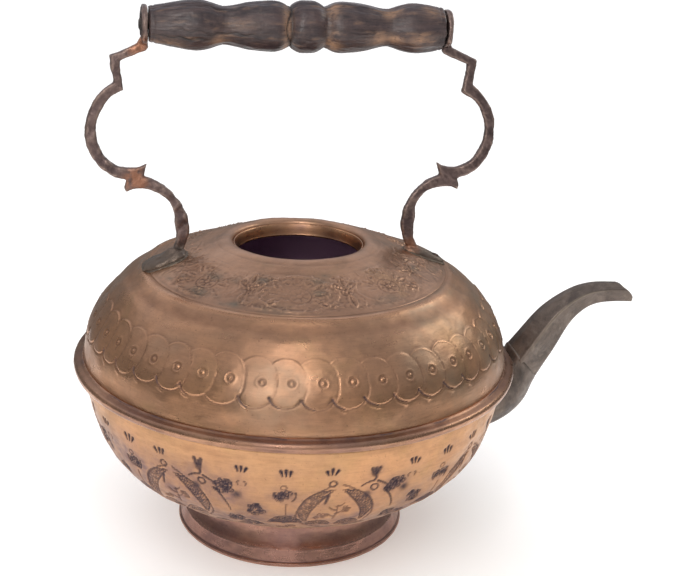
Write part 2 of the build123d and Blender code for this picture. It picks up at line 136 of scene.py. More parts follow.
def waves(phi, y, seed, scale, around=720.0, count=14):
    """Irregular low waves that close round a body: phi round it, y up it, around its girth in mm."""
    rng = np.random.default_rng(seed)
    total = np.zeros(np.broadcast(phi, y).shape)
    for _ in range(count):
        turns = rng.integers(0, max(int(around / scale), 2) + 1)
        climb = rng.normal(0, 1) * TAU / scale
        total += np.cos(turns * phi + climb * y + rng.uniform(0, TAU))
    return total / math.sqrt(count / 2)


def blurred(field, rows, columns):
    """Gaussian blur of a grid that wraps round its columns."""
    pad = int(3 * rows) + 2
    padded = np.pad(field, ((pad, pad), (0, 0)), mode="edge")
    fy = np.fft.fftfreq(padded.shape[0])[:, None]
    fx = np.fft.rfftfreq(padded.shape[1])[None, :]
    response = np.exp(-2 * math.pi ** 2 * ((rows * fy) ** 2 + (columns * fx) ** 2))
    return np.fft.irfft2(np.fft.rfft2(padded) * response, s=padded.shape)[pad:-pad]


SHADE_DEPTH = 0.22  # relief that counts as a full hollow or a full crest


# ---- meshes ---------------------------------------------------------------------------------
def add_fields(mesh, fields):
    """A float attribute on the vertices for each named array."""
    for key, values in fields.items():
        layer = mesh.attributes.new(key, "FLOAT", "POINT")
        layer.data.foreach_set("value", np.asarray(values, np.float32).ravel())


def make_mesh(name, vertices, faces, fields=None):
    """A mesh object from millimetre vertices, with a float attribute for each named array."""
    mesh = bpy.data.meshes.new(name)
    co = np.asarray(vertices, np.float32) * MM
    faces = np.asarray(faces, np.int32)
    sides = faces.shape[1]
    mesh.vertices.add(len(co))
    mesh.vertices.foreach_set("co", co.ravel())
    mesh.loops.add(faces.size)
    mesh.loops.foreach_set("vertex_index", faces.ravel())
    mesh.polygons.add(len(faces))
    mesh.polygons.foreach_set("loop_start", np.arange(len(faces), dtype=np.int32) * sides)
    mesh.update(calc_edges=True)
    mesh.validate()
    mesh.polygons.foreach_set("use_smooth", np.full(len(mesh.polygons), True))
    add_fields(mesh, fields or {})
    piece = bpy.data.objects.new(name, mesh)
    bpy.context.scene.collection.objects.link(piece)
    return piece


def grid_faces(rows, columns, wrap_rows=True):
    """Four-sided faces of a grid of vertices whose columns close round a body."""
    r, c = np.meshgrid(np.arange(rows if wrap_rows else rows - 1), np.arange(columns), indexing="ij")
    r2 = (r + 1) % rows
    c2 = (c + 1) % columns
    corners = [r * columns + c, r * columns + c2, r2 * columns + c2, r2 * columns + c]
    return np.stack([x.ravel() for x in corners], axis=1)


def normals_2d(outline):
    """Unit vectors to the right of the walk round a closed outline."""
    p = np.array(outline, float)
    tangent = np.roll(p, -1, axis=0) - np.roll(p, 1, axis=0)
    tangent /= np.maximum(np.linalg.norm(tangent, axis=1), 1e-9)[:, None]
    return np.stack([tangent[:, 1], -tangent[:, 0]], axis=1)


def turned(name, outline, segments, relief, fields, axis="Z"):
    """A ring or shell turned from an (r, z) outline that runs upwards on its outer side."""
    p = np.array(outline, float)
    n = normals_2d(p)
    phi = full_turn(segments)
    r = p[:, :1] + n[:, :1] * relief
    z = p[:, 1:] + n[:, 1:] * relief
    if axis == "Z":
        grid = np.stack([r * np.cos(phi), r * np.sin(phi), z], axis=2)
    else:
        grid = np.stack([z, r * np.sin(phi), r * np.cos(phi)], axis=2)
    return make_mesh(name, grid.reshape(-1, 3), grid_faces(len(p), segments), fields)


def shade(height, spread):
    """Hollows and crests of a relief, each from 0 to 1: hollows get patina and painted shade, crests get
    polish and painted sheen.
    """
    around = blurred(height, spread, spread)
    return np.clip((around - height) / SHADE_DEPTH, 0, 1), np.clip((height - around) / SHADE_DEPTH, 0, 1)


# ---- relief drawn on a band of the body -----------------------------------------------------
class Band:
    """Relief and patina on a band round the body: x runs round it and y along its outline, in mm."""

    def __init__(self, y, segments, radius):
        self.y = np.asarray(y, float)
        self.segments = segments
        self.length = TAU * radius
        self.height = np.zeros((len(self.y), segments))
        self.patina = np.zeros((len(self.y), segments))
        self.stain = np.zeros((len(self.y), segments))

    def window(self, points, margin):
        """Grid cells near some points, and every cell's place in mm."""
        p = np.array(points, float)
        rows = np.nonzero((self.y > p[:, 1].min() - margin) & (self.y < p[:, 1].max() + margin))[0]
        step = self.length / self.segments
        first = math.floor((p[:, 0].min() - margin) / step)
        last = math.ceil((p[:, 0].max() + margin) / step)
        columns = np.arange(first, last + 1)
        where = np.ix_(rows, columns % self.segments)
        return where, (columns * step)[None, :], self.y[rows][:, None]

    def press(self, where, depth, patina, mask):
        """Sinks and darkens some grid cells by the share that a mask gives each."""
        self.height[where] -= depth * mask
        self.patina[where] = np.maximum(self.patina[where], patina * mask)

    def line_round(self, y, depth, patina):
        """A line right round the body; a negative depth raises it and leaves it bright."""
        line = np.exp(-((self.y - y) / 0.6) ** 2)[:, None]
        self.press(slice(None), depth, patina * (depth > 0), line)

    def stroke(self, points, width, depth, patina=1.0, taper=0.0):
        """A chisel line along points. A negative depth raises it; taper narrows it towards its end."""
        p = np.array(points, float)
        where, x, y = self.window(p, 2 * width)
        lengths = run_length(p)
        best = np.zeros(np.broadcast(x, y).shape)
        for (ax, ay), (bx, by), start, stop in zip(p, p[1:], lengths, lengths[1:]):
            dx, dy = bx - ax, by - ay
            span = max(dx * dx + dy * dy, 1e-9)
            t = np.clip(((x - ax) * dx + (y - ay) * dy) / span, 0, 1)
            distance = np.hypot(x - ax - t * dx, y - ay - t * dy)
            share = (start + t * (stop - start)) / lengths[-1]
            half = width / 2 * (1 - taper * share)
            best = np.maximum(best, 1 - smoothstep(0.35, 1.35, distance / half))
        self.press(where, depth, patina, best)

    def ring(self, x, y, radius, width, depth, patina=1.0):
        """A chisel line round (x, y)."""
        where, gx, gy = self.window([(x, y)], radius + 2 * width)
        distance = abs(np.hypot(gx - x, gy - y) - radius)
        mask = 1 - smoothstep(0.35, 1.35, distance / (width / 2))
        self.press(where, depth, patina, mask)

    def spot(self, x, y, radius, depth, patina=1.0, tall=1.0, turn=0.0):
        """A soft round or oval dent, or a boss when depth is negative."""
        where, gx, gy = self.window([(x, y)], 2.2 * radius * max(tall, 1))
        along = (gx - x) * math.cos(turn) + (gy - y) * math.sin(turn)
        across = (gy - y) * math.cos(turn) - (gx - x) * math.sin(turn)
        mask = np.exp(-(along ** 2 + (across / tall) ** 2) / radius ** 2)
        self.press(where, depth, patina, mask)


def bent(start, middle, end, count=9):
    """Points of a curved line from start to end, drawn towards a middle point."""
    t = np.linspace(0, 1, count)[:, None]
    a, b, c = (np.array(q, float) for q in (start, middle, end))
    return (1 - t) ** 2 * a + 2 * t * (1 - t) * b + t ** 2 * c


def at(x, y, angle, size, *points):
    """Points of a small drawing, moved to (x, y), turned and scaled."""
    c, s = math.cos(angle) * size, math.sin(angle) * size
    return [(x + c * u - s * v, y + s * u + c * v) for u, v in points]


# ---- materials ------------------------------------------------------------------------------
def linear(red, green, blue):
    """Linear colour from 0-255 sRGB."""
    def one(value):
        value /= 255
        return value / 12.92 if value <= 0.04045 else ((value + 0.055) / 1.055) ** 2.4
    return one(red), one(green), one(blue), 1.0


class Paint:
    """Node helper for one material."""

    def __init__(self, name):
        self.material = bpy.data.materials.new(name)
        self.material.use_nodes = True
        self.tree = self.material.node_tree
        self.shader = self.tree.nodes["Principled BSDF"]
        self.place = self.node("ShaderNodeTexCoord").outputs["Object"]

    def node(self, kind, settings=None, **inputs):
        made = self.tree.nodes.new(kind)
        for key, value in (settings or {}).items():
            setattr(made, key, value)
        for key, value in inputs.items():
            self.feed(made.inputs[key.replace("_", " ")], value)
        return made

    def feed(self, socket, value):
        if isinstance(value, bpy.types.NodeSocket):
            self.tree.links.new(value, socket)
        else:
            socket.default_value = value

    def attribute(self, name):
        return self.node("ShaderNodeAttribute", {"attribute_name": name}).outputs["Fac"]

    def stretched(self, scale):
        """Object place stretched by a scale for each direction."""
        made = self.node("ShaderNodeMapping", Vector=self.place)
        made.inputs["Scale"].default_value = scale
        return made.outputs["Vector"]

    def noise(self, scale, detail=4.0, roughness=0.6, place=None, distortion=0.0):
        made = self.node(
            "ShaderNodeTexNoise",
            Vector=self.place if place is None else place,
            Scale=scale,
            Detail=detail,
            Roughness=roughness,
            Distortion=distortion,
        )
        return made.outputs["Fac"]

    def ramp(self, value, low, high, to_low=0.0, to_high=1.0):
        made = self.node("ShaderNodeMapRange", {"interpolation_type": "SMOOTHSTEP"}, Value=value)
        for key, number in (
            ("From Min", low), ("From Max", high), ("To Min", to_low), ("To Max", to_high)
        ):
            made.inputs[key].default_value = number
        return made.outputs["Result"]

    def math(self, operation, a, b=0.0):
        made = self.node("ShaderNodeMath", {"operation": operation})
        self.feed(made.inputs[0], a)
        self.feed(made.inputs[1], b)
        return made.outputs["Value"]

    def plus(self, value, field, amount):
        """A value raised by a field times an amount."""
        return self.math("ADD", value, self.math("MULTIPLY", field, amount))

    def mix(self, share, a, b):
        made = self.node("ShaderNodeMix", {"data_type": "RGBA"})
        self.feed(made.inputs["Factor"], share)
        self.feed(made.inputs["A"], a)
        self.feed(made.inputs["B"], b)
        return made.outputs["Result"]

    def bump(self, height, strength, distance, normal=None):
        made = self.node("ShaderNodeBump", Height=height, Strength=strength, Distance=distance)
        if normal is not None:
            self.feed(made.inputs["Normal"], normal)
        return made.outputs["Normal"]

    def finish(self, color, roughness, metallic=1.0, normal=None, **fixed):
        self.feed(self.shader.inputs["Base Color"], color)
        self.feed(self.shader.inputs["Roughness"], roughness)
        self.feed(self.shader.inputs["Metallic"], metallic)
        if normal is not None:
            self.feed(self.shader.inputs["Normal"], normal)
        for key, value in fixed.items():
            self.shader.inputs[key.replace("_", " ")].default_value = value
        return self.material


def copper(name, base, warm, patina, roughness, hollow_tint=0.4, blotch=0.5, stained=(128, 104, 104)):
    """Aged copper sheet: blotched tone, hollows darkened by patina and painted shade, crests warmed by
    polish and painted sheen, fine rubbing marks.
    """
    paint = Paint(name)
    tone = paint.ramp(paint.noise(22.0, 5.0, 0.62, distortion=0.6), 0.36, 0.66)
    color = paint.mix(tone, linear(*base), linear(*warm))
    olive = paint.ramp(paint.noise(31.0, 5.0, 0.65, distortion=0.8), 0.5, 0.72, 0.0, 0.32)
    color = paint.mix(olive, color, linear(*[c * k for c, k in zip(base, (0.88, 0.94, 0.82))]))
    cloud = paint.ramp(paint.noise(48.0, 6.0, 0.7), 0.48, 0.74, 0.0, blotch)
    color = paint.mix(cloud, color, linear(*[0.86 * b + 0.14 * p for b, p in zip(base, patina)]))
    mottle = paint.ramp(paint.noise(210.0, 5.0, 0.72), 0.40, 0.72, 0.0, 0.20)
    color = paint.mix(mottle, color, linear(*patina))
    rubbing = paint.noise(90.0, 4.0, 0.6, place=paint.stretched((1.0, 1.0, 11.0)))
    color = paint.mix(paint.ramp(rubbing, 0.42, 0.72, 0.0, 0.17), color, linear(*patina))
    crest = paint.attribute("crest")
    hollow = paint.attribute("hollow")
    chased = paint.attribute("patina")
    patchy = paint.ramp(paint.noise(130.0), 0.3, 0.7, 0.4, 1.0)
    stain = paint.math("MULTIPLY", paint.attribute("stain"), patchy)
    color = paint.mix(stain, color, linear(*stained))
    # crests: warmer colour, partly polish and partly painted sheen; hollows: patina colour, partly real
    # patina and partly painted shade
    color = paint.mix(paint.ramp(crest, 0.15, 1.0, 0.0, 0.45), color, linear(*warm))
    color = paint.mix(paint.math("MULTIPLY", hollow, hollow_tint), color, linear(*patina))
    grime = paint.ramp(paint.noise(520.0, 4.0, 0.7), 0.34, 0.60, 0.72, 1.0)
    dark = paint.math("MULTIPLY", chased, grime)
    color = paint.mix(dark, color, linear(46, 32, 42))
    specks = paint.ramp(paint.noise(900.0, 2.0, 0.5), 0.66, 0.74, 0.0, 0.5)
    color = paint.mix(specks, color, linear(*patina))
    rough = paint.ramp(paint.noise(70.0, 5.0, 0.65), 0.3, 0.7, roughness - 0.05, roughness + 0.08)
    for field, amount in ((hollow, 0.12), (dark, 0.25), (stain, 0.12)):
        rough = paint.plus(rough, field, amount)
    rough = paint.math("SUBTRACT", rough, paint.math("MULTIPLY", crest, 0.08))
    within = paint.attribute("inside")
    metal = paint.math("SUBTRACT", paint.ramp(dark, 0.2, 1.0, 1.0, 0.3), within)
    color = paint.mix(within, color, linear(176, 142, 168))
    rough = paint.plus(rough, within, 0.25)
    scratches = paint.noise(170.0, 6.0, 0.75, place=paint.stretched((1.0, 1.0, 9.0)))
    normal = paint.bump(scratches, 0.17, 0.0006)
    normal = paint.bump(paint.noise(75.0, 3.0, 0.5), 0.14, 0.0016, normal)
    return paint.finish(color, rough, metal, normal)


def forged(name, base, dark, pale, worn, roughness=0.46):
    """Dark patina on cast or forged copper alloy, paler at its edges from rubbing and painted highlight,
    darker in its hollows from dirt and painted shade, and orange where worn.
    """
    paint = Paint(name)
    tone = paint.ramp(paint.noise(60.0, 6.0, 0.7, distortion=0.8), 0.36, 0.64)
    color = paint.mix(tone, linear(*dark), linear(*base))
    cloud = paint.ramp(paint.noise(170.0, 5.0, 0.7), 0.5, 0.75, 0.0, 0.6)
    color = paint.mix(cloud, color, linear(*pale))
    edge = paint.attribute("crest")
    # edges: pale colour, partly rubbed wear and partly painted highlight
    color = paint.mix(paint.ramp(edge, 0.1, 0.9, 0.0, 0.75), color, linear(*pale))
    hollow = paint.attribute("hollow")
    # hollows: darker colour, partly dirt and partly painted shade
    color = paint.mix(paint.math("MULTIPLY", hollow, 0.7), color, linear(*[c * 0.5 for c in dark]))
    color = paint.mix(paint.math("MULTIPLY", paint.attribute("fouled"), 0.75), color, linear(110, 98, 86))
    patch = paint.math("MULTIPLY", paint.attribute("worn"), paint.ramp(paint.noise(240.0), 0.3, 0.55))
    color = paint.mix(patch, color, linear(*worn))
    rough = paint.ramp(paint.noise(150.0, 5.0, 0.65), 0.3, 0.7, roughness - 0.08, roughness + 0.14)
    rough = paint.math("SUBTRACT", rough, paint.math("MULTIPLY", edge, 0.1))
    normal = paint.bump(paint.noise(320.0, 5.0, 0.65), 0.35, 0.0008)
    normal = paint.bump(paint.noise(110.0, 3.0, 0.55), 0.3, 0.0016, normal)
    return paint.finish(color, rough, 0.85, normal)


def wood(name):
    """Dark turned hardwood with grain along it, a handling sheen, cracks and paler rubbed patches."""
    paint = Paint(name)
    along = paint.stretched((0.12, 1.0, 1.0))
    fibre = paint.noise(520.0, 5.0, 0.6, place=along, distortion=0.4)
    broad = paint.noise(110.0, 4.0, 0.6, place=along, distortion=1.0)
    color = paint.mix(paint.ramp(broad, 0.34, 0.68), linear(36, 26, 29), linear(66, 51, 50))
    color = paint.mix(paint.ramp(fibre, 0.42, 0.7, 0.0, 0.35), color, linear(80, 60, 54))
    mottle = paint.ramp(paint.noise(190.0, 6.0, 0.75), 0.46, 0.66, 0.0, 0.35)
    color = paint.mix(mottle, color, linear(88, 70, 64))
    worn = paint.attribute("worn")
    ragged = paint.ramp(paint.noise(150.0, 6.0, 0.72, place=paint.stretched((0.5, 1.0, 1.0))), 0.34, 0.6)
    patch = paint.math("MULTIPLY", worn, ragged)
    color = paint.mix(patch, color, linear(142, 108, 82))
    hollow = paint.attribute("hollow")
    color = paint.mix(hollow, color, linear(24, 16, 14))
    pores = paint.ramp(paint.noise(1500.0, 2.0, 0.5, place=along), 0.60, 0.72, 0.0, 0.7)
    color = paint.mix(pores, color, linear(28, 19, 17))
    rough = paint.ramp(paint.noise(80.0, 5.0, 0.65), 0.32, 0.68, 0.34, 0.58)
    rough = paint.plus(rough, patch, 0.2)
    normal = paint.bump(fibre, 0.25, 0.0004)
    normal = paint.bump(paint.noise(120.0, 4.0, 0.6), 0.25, 0.0012, normal)
    return paint.finish(color, rough, 0.0, normal, Coat_Weight=0.18, Coat_Roughness=0.32)


# ---- dome with its band of overlapping scales ------------------------------------------------
GREYED_SIDE = math.radians(345)  # direction of the side where the dome is dull and greyish
SCALES = 46
DOME_SEGMENTS = 1180
SCALE_HALF_WIDTH = 11.2
SCALE_HALF_HEIGHT = 12.7
DOT_POINT = (111.6, 130.6)  # (r, z) of the row of dots
SCALE_SQUARENESS = 2.15  # exponent of a scale's outline; 2 would be an ellipse


def scale_band(band, middle, seed=5):
    """Overlapping discs, each lying on its neighbour to the right, with a dot in each crescent."""
    rng = np.random.default_rng(seed)
    n = SCALE_SQUARENESS
    pitch = band.length / SCALES
    x = (np.arange(band.segments) * band.length / band.segments)[None, :]
    y = band.y[:, None] - middle
    offsets = rng.normal(0, 0.4, (SCALES, 2))
    wide = SCALE_HALF_WIDTH * (1 + rng.normal(0, 0.025, SCALES))
    tall = SCALE_HALF_HEIGHT * (1 + rng.normal(0, 0.025, SCALES))
    crisp = rng.uniform(0.5, 1.2, SCALES)
    reach = []
    for i in range(SCALES):
        dx = (x - i * pitch - offsets[i, 0] + band.length / 2) % band.length - band.length / 2
        dy = y - offsets[i, 1]
        u, v = np.abs(dx) / wide[i] + 1e-4, np.abs(dy) / tall[i] + 1e-4
        rho = (u ** n + v ** n) ** (1 / n)
        slope = rho ** (1 - n) * np.hypot(u ** (n - 1) / wide[i], v ** (n - 1) / tall[i])
        reach.append(((1 - rho) / np.maximum(slope, 0.03), dx, dy, rho))
    # the ring of discs has no first one: each is covered only by its neighbour to the left
    for i in range(SCALES):
        depth, dx, dy, rho = reach[i]
        left_depth = reach[i - 1][0]
        mine = (depth > 0) & (left_depth <= 0)
        upper = smoothstep(2, 10, dy)
        plate = smoothstep(0, 1.4, depth) * 0.26 + 0.30 * (1 - rho ** 2)
        rim = np.exp(-((depth - 0.55) / 0.42) ** 2) * (0.26 + 0.16 * upper) * crisp[i]
        band.height += np.where(mine, plate + rim, 0)
        outside = (depth <= 0) & (left_depth <= 0)
        lower = smoothstep(0, -9, dy)
        line = np.exp(-((depth + 0.25) / 0.38) ** 2) * outside
        band.height -= line * (0.08 + 0.30 * lower) * crisp[i]
        # dark line: partly dirt in the chisel line and partly painted shade, strongest under each disc's
        # lower edge
        band.patina = np.maximum(band.patina, line * (0.02 + 0.24 * lower) * crisp[i])
        dot = np.hypot(dx - 3.4, dy)
        nub = 0.66 * np.exp(-(dot / 0.85) ** 2) + 0.26 * np.exp(-((dot - 2.7) / 0.65) ** 2)
        groove = np.exp(-((dot - 1.65) / 0.5) ** 2)
        band.height += (nub - 0.42 * groove) * (0.45 + 0.5 * crisp[i])
        band.patina = np.maximum(band.patina, 0.26 * groove)
    for i in range(SCALES):
        # hooked chisel nick that follows the lower left edge of a disc, with a raised burr below it
        if rng.uniform() < 0.88:
            size = rng.uniform(0.75, 1.15)
            cx, cy = i * pitch + offsets[i, 0], middle + offsets[i, 1]
            start = (cx - 0.66 * wide[i], cy - 0.62 * tall[i])
            bend = (cx - 0.60 * wide[i] + 0.6, cy - 0.86 * tall[i] - 0.6)
            stop = (start[0] + 6.4 * size, cy - 0.97 * tall[i] - 0.5)
            nick = bent(start, bend, stop)
            band.stroke(nick + np.array([0.2, -1.3]), 1.1, -0.46, 0, 0.4)
            band.stroke(nick, 1.6, 0.72, min(crisp[i] + 0.1, 1), 0.75)
            if rng.uniform() < 0.5:
                tail = bent(start, (start[0] - 1.2, start[1] - 1.6), (start[0] - 3.0, start[1] - 2.6))
                band.stroke(tail, 1.0, 0.4, 0.6, 0.7)


def dome():
    """Embossed dome from the seam up to the crease below the shoulder."""
    outer = curve(DOME_SIDE, 600)
    dots = np.argmin(np.hypot(outer[:, 0] - DOT_POINT[0], outer[:, 1] - DOT_POINT[1]))

    def spacing(point):
        if 117 < point[1] < 143.5:
            return 0.62
        return 1.0 if point[1] > 143 else 1.5

    rows = walk(np.vstack([[(SEAM_TOP[0], 102.2)], outer]), spacing)
    y = run_length(rows)
    middle = y[np.argmin(np.hypot(rows[:, 0] - outer[dots, 0], rows[:, 1] - outer[dots, 1]))]
    segments = DOME_SEGMENTS
    band = Band(y, segments, DOT_POINT[0])
    scale_band(band, middle)
    phi = full_turn(segments)
    up = y[:, None]
    dents = waves(phi, up, 3, 60) * 0.20 + waves(phi, up, 4, 16) * 0.045 + waves(phi, up, 6, 6) * 0.012
    fade = smoothstep(0, 6, y)[:, None] * smoothstep(0, 5, y[-1] - y)[:, None]
    wear = np.clip(0.82 + 0.22 * waves(phi, up, 7, 90), 0.45, 1.15)
    below = (y[-1] - y)[:, None]  # distance down from the crease
    roll = 0.65 * np.exp(-((below - 3.6) / 2.6) ** 2) - 0.6 * np.exp(-((below - 11.5) / 4.2) ** 2)
    relief = (band.height * wear + dents) * fade + roll * smoothstep(0, 2.5, below)
    band.patina *= fade
    greyed = smoothstep(0.2, 0.95, np.cos(phi - GREYED_SIDE)) * 0.75
    band.stain += 0.5 * np.clip(waves(phi, up, 11, 70) - 0.5, 0, 1)
    band.stain = np.clip(band.stain + greyed * np.clip(0.6 + 0.4 * waves(phi, up, 12, 40), 0, 1), 0, 0.9)
    inner = walk(curve([(r - SHEET * 0.7, z - SHEET * 0.7) for r, z in DOME_SIDE][::-1], 100), 7.0)
    return shell("embossed_dome", rows, inner, relief, 2.6, band, segments)


def shell(name, outer, inner, relief, spread, band, segments, before=()):
    """Closed wall: an outer side with relief, plain rows before it, and a plain inner side."""
    outline = np.vstack([*before, outer, inner])
    lead = len(outline) - len(outer) - len(inner)
    within = np.zeros((len(outline), segments))
    within[lead + len(outer):] = 1

    def padded(field):
        return np.pad(field, ((lead, len(inner)), (0, 0)))

    hollow, crest = shade(relief, spread)
    fields = {
        "hollow": padded(hollow),
        "crest": padded(crest),
        "patina": padded(band.patina),
        "stain": padded(band.stain),
        "inside": within,
    }
    return turned(name, outline, segments, padded(relief), fields)


# ---- shoulder and mouth ------------------------------------------------------------------------
ROSETTES = 8
SHOULDER_SEGMENTS = 1020
SHOULDER_BAND_RADIUS = 66.0  # radius at which the shoulder's drawing keeps its proportions


def leaf(band, x, y, angle, length, width, raise_=0.42, patina=0.35):
    """Raised leaf with a groove along its middle and short veins."""
    sides = []
    for side in (-1, 1):
        edge = at(x, y, angle, 1, (0, 0), (length * 0.45, side * width), (length, side * width * 0.1))
        sides.append(bent(*edge))
        band.stroke(sides[-1], 1.1, -raise_, 0)
    band.stroke(at(x, y, angle, 1, (0, 0), (length * 0.95, 0)), 0.8, raise_ * 0.7, patina, 0.6)
    for k in range(1, 4):
        u = length * (0.15 + 0.2 * k)
        for side in (-1, 1):
            tip = (u + 1.4, side * width * 0.42)
            band.stroke(at(x, y, angle, 1, (u, 0), tip), 0.6, raise_ * 0.4, patina)


def rosette(band, x, y, radius, petals, raise_=0.5):
    """Round flower with raised petals, a boss and chiselled rings."""
    band.spot(x, y, radius * 0.20, -raise_ * 1.3, 0)
    band.ring(x, y, radius * 0.32, 0.9, raise_ * 0.7, 0.5)
    for k in range(petals):
        a = k * TAU / petals
        cx, cy = x + radius * 0.62 * math.cos(a), y + radius * 0.62 * math.sin(a)
        band.spot(cx, cy, radius * 0.2, -raise_, 0, 0.72, a)
        gap = a + TAU / petals / 2
        inner = (x + radius * 0.4 * math.cos(gap), y + radius * 0.4 * math.sin(gap))
        outer = (x + radius * 0.86 * math.cos(gap), y + radius * 0.86 * math.sin(gap))
        band.stroke([inner, outer], 0.8, raise_ * 0.6, 0.45)
    band.ring(x, y, radius, 1.0, -raise_ * 0.7, 0)
    band.ring(x, y, radius * 1.14, 0.8, raise_ * 0.5, 0.4)


def scroll(band, x, y, size, side, raise_=0.45):
    """Raised stem that curls in on itself."""
    turns = np.linspace(0, 1.35 * TAU, 34)
    radius = size * (1 - 0.62 * turns / turns[-1])
    points = [
        (x + side * r * math.cos(t), y + r * math.sin(t) * 0.9) for t, r in zip(turns, radius)
    ]
    band.stroke(points, 1.3, -raise_, 0, 0.35)
    inner = [(x + side * (r - 1.3) * math.cos(t), y + (r - 1.3) * math.sin(t) * 0.9)
             for t, r in zip(turns, radius)]
    band.stroke(inner[:26], 0.8, raise_ * 0.6, 0.5, 0.3)


def shoulder_ornament(band, start, stop, rng):
    """Half-worn medallions and scrolled leaves on a beaten ground, with deposits in the hollows."""
    middle = (start + stop) / 2
    pitch = band.length / ROSETTES
    for k in range(ROSETTES):
        x = (k + 0.80) * pitch
        half = pitch * 0.41
        top, low = middle + 13.5, middle - 13.5
        for side in (-1, 1):
            for end, sign in ((top, 1), (low, -1)):
                rim = bent((x + side * half, middle), (x + side * half * 0.82, end - sign), (x, end + sign))
                rim += rng.normal(0, 0.12, rim.shape)
                band.stroke(rim, 1.5, -0.30, 0.0)
        rosette(band, x + rng.normal(0, 0.6), middle - 1.0, 5.2, 7, 0.34)
        for side in (-1, 1):
            for tilt in (0.7, -0.7, 0.05):
                angle = (0 if side > 0 else math.pi) + side * tilt
                leaf(band, x + side * 7.6, middle - 1 + 5 * math.sin(tilt), angle, 8.6, 2.8, 0.36, 0.2)
            scroll(band, x + side * 6.0, middle + 8.6, 2.8, side, 0.36)
            scroll(band, x + side * 12.4, middle - 8.8, 2.5, -side, 0.34)
        gap = x + pitch / 2
        leaf(band, gap, middle - 12, math.pi / 2, 10, 3.4, 0.5, 0.2)
        leaf(band, gap, middle + 13, -math.pi / 2, 9, 3.2, 0.5, 0.2)
        for side in (-1, 1):
            leaf(band, gap, middle + 1, math.pi / 2 - side * 1.0, 9, 2.6, 0.44, 0.2)
            scroll(band, gap + side * 4.6, middle + 6.0, 2.6, side, 0.4)
        rosette(band, gap, middle + 0.5, 2.8, 6, 0.36)
    # beaten ground: short curled ridges and bumps, denser towards the crease
    for _ in range(900):
        x = rng.uniform(0, band.length)
        y = start + 1.5 + (stop - start - 3) * rng.uniform() ** 1.25
        turn, size = rng.uniform(0, TAU), rng.uniform(0.7, 1.5)
        curl = at(x, y, turn, size, (-1.6, 0.0), (0.0, 1.7), (1.6, -0.2))
        band.stroke(bent(*curl), rng.uniform(0.9, 1.5), -rng.uniform(0.14, 0.50), 0, 0.5)
    for _ in range(3400):
        x = rng.uniform(0, band.length)
        y = rng.uniform(start + 1.5, stop - 1.5)
        band.spot(x, y, rng.uniform(0.5, 1.1), rng.uniform(-0.22, 0.34), rng.uniform(0.0, 0.22))
    for y, depth in ((start - 0.2, 0.08), (start + 1.6, -0.18), (start + 3.2, 0.10), (stop + 0.4, 0.08)):
        band.line_round(y, depth, 0.08)
    # grey-green deposit gathered in the hollows of some places
    for _ in range(54):
        x = rng.uniform(0, band.length)
        y = rng.uniform(start, stop)
        wide = rng.uniform(2.5, 8.0)
        where, gx, gy = band.window([(x, y)], 2.4 * wide)
        cloud = np.exp(-((gx - x) / wide) ** 2 - ((gy - y) / (wide * 0.6)) ** 2)
        band.stain[where] = np.maximum(band.stain[where], rng.uniform(0.2, 0.85) * cloud)


def shoulder():
    """Sloping shoulder, rolled crest of the mouth and the neck that turns down into it."""
    slope = walk([CREASE, SHOULDER_TOP], 0.62)
    crest_line = walk(curve(MOUTH_SIDE, 200), 0.9)[1:]
    neck = walk([MOUTH_SIDE[-1], (MOUTH_RADIUS, NECK_BOTTOM)], 1.2)[1:]
    outer = np.vstack([slope, crest_line, neck])
    under = walk(
        [
            (MOUTH_RADIUS + SHEET, NECK_BOTTOM),
            (MOUTH_RADIUS + SHEET, SHOULDER_TOP[1] - 1.5),
            (SHOULDER_TOP[0], SHOULDER_TOP[1] - SHEET * 1.1),
            (CREASE[0], CREASE[1] - SHEET),
        ],
        5.0,
    )
    y = run_length(outer)
    segments = SHOULDER_SEGMENTS
    band = Band(y, segments, SHOULDER_BAND_RADIUS)
    shoulder_ornament(band, 1.8, 32.0, np.random.default_rng(17))
    phi = full_turn(segments)
    up = y[:, None]
    ring = np.exp(-((outer[:, 0] - 45.2) / 0.55) ** 2)[:, None] * (outer[:, 1] > 165)[:, None]
    dents = waves(phi, up, 9, 40, 400) * 0.12 + waves(phi, up, 10, 9, 400) * 0.03
    fade = smoothstep(0, 2.5, y)[:, None] * smoothstep(4, 16, y[-1] - y)[:, None]
    keep = smoothstep(36.5, 34.0, y)[:, None]
    worn = np.clip(0.62 + 0.30 * waves(phi, up, 21, 34, 400), 0.18, 1.0)
    relief = (band.height * keep * worn + dents) * fade - 0.12 * ring
    band.patina *= keep * worn
    band.stain *= keep
    return shell("embossed_shoulder", outer, under, relief, 2.2, band, segments)


# ---- bowl with its chased ornament ---------------------------------------------------------------
REPEATS = 8  # the chased drawing repeats round the bowl
CHASING_DEPTH = 0.62  # deepest chisel mark
DARKENED_SIDE = math.radians(190)  # direction of the side that is darkened most
BASE_RADIUS = 30.0  # flat middle of the base
BOWL_SEGMENTS = 1120
BOWL_BAND_RADIUS = 115.0


def tuft(band, x, y, size, rng):
    """Three short wedge strokes that fan out upwards."""
    lean = rng.normal(0, 0.35)
    for u in (-2.0, 0.0, 2.0):
        top = (u * 1.35 + lean + rng.normal(0, 0.25), 1.6 + rng.normal(0, 0.35) - 0.25 * abs(u))
        band.stroke(at(x, y, 0, size, top, (u * 0.8, -1.4)), 1.9 * size, 0.6, 1.25, 0.6)


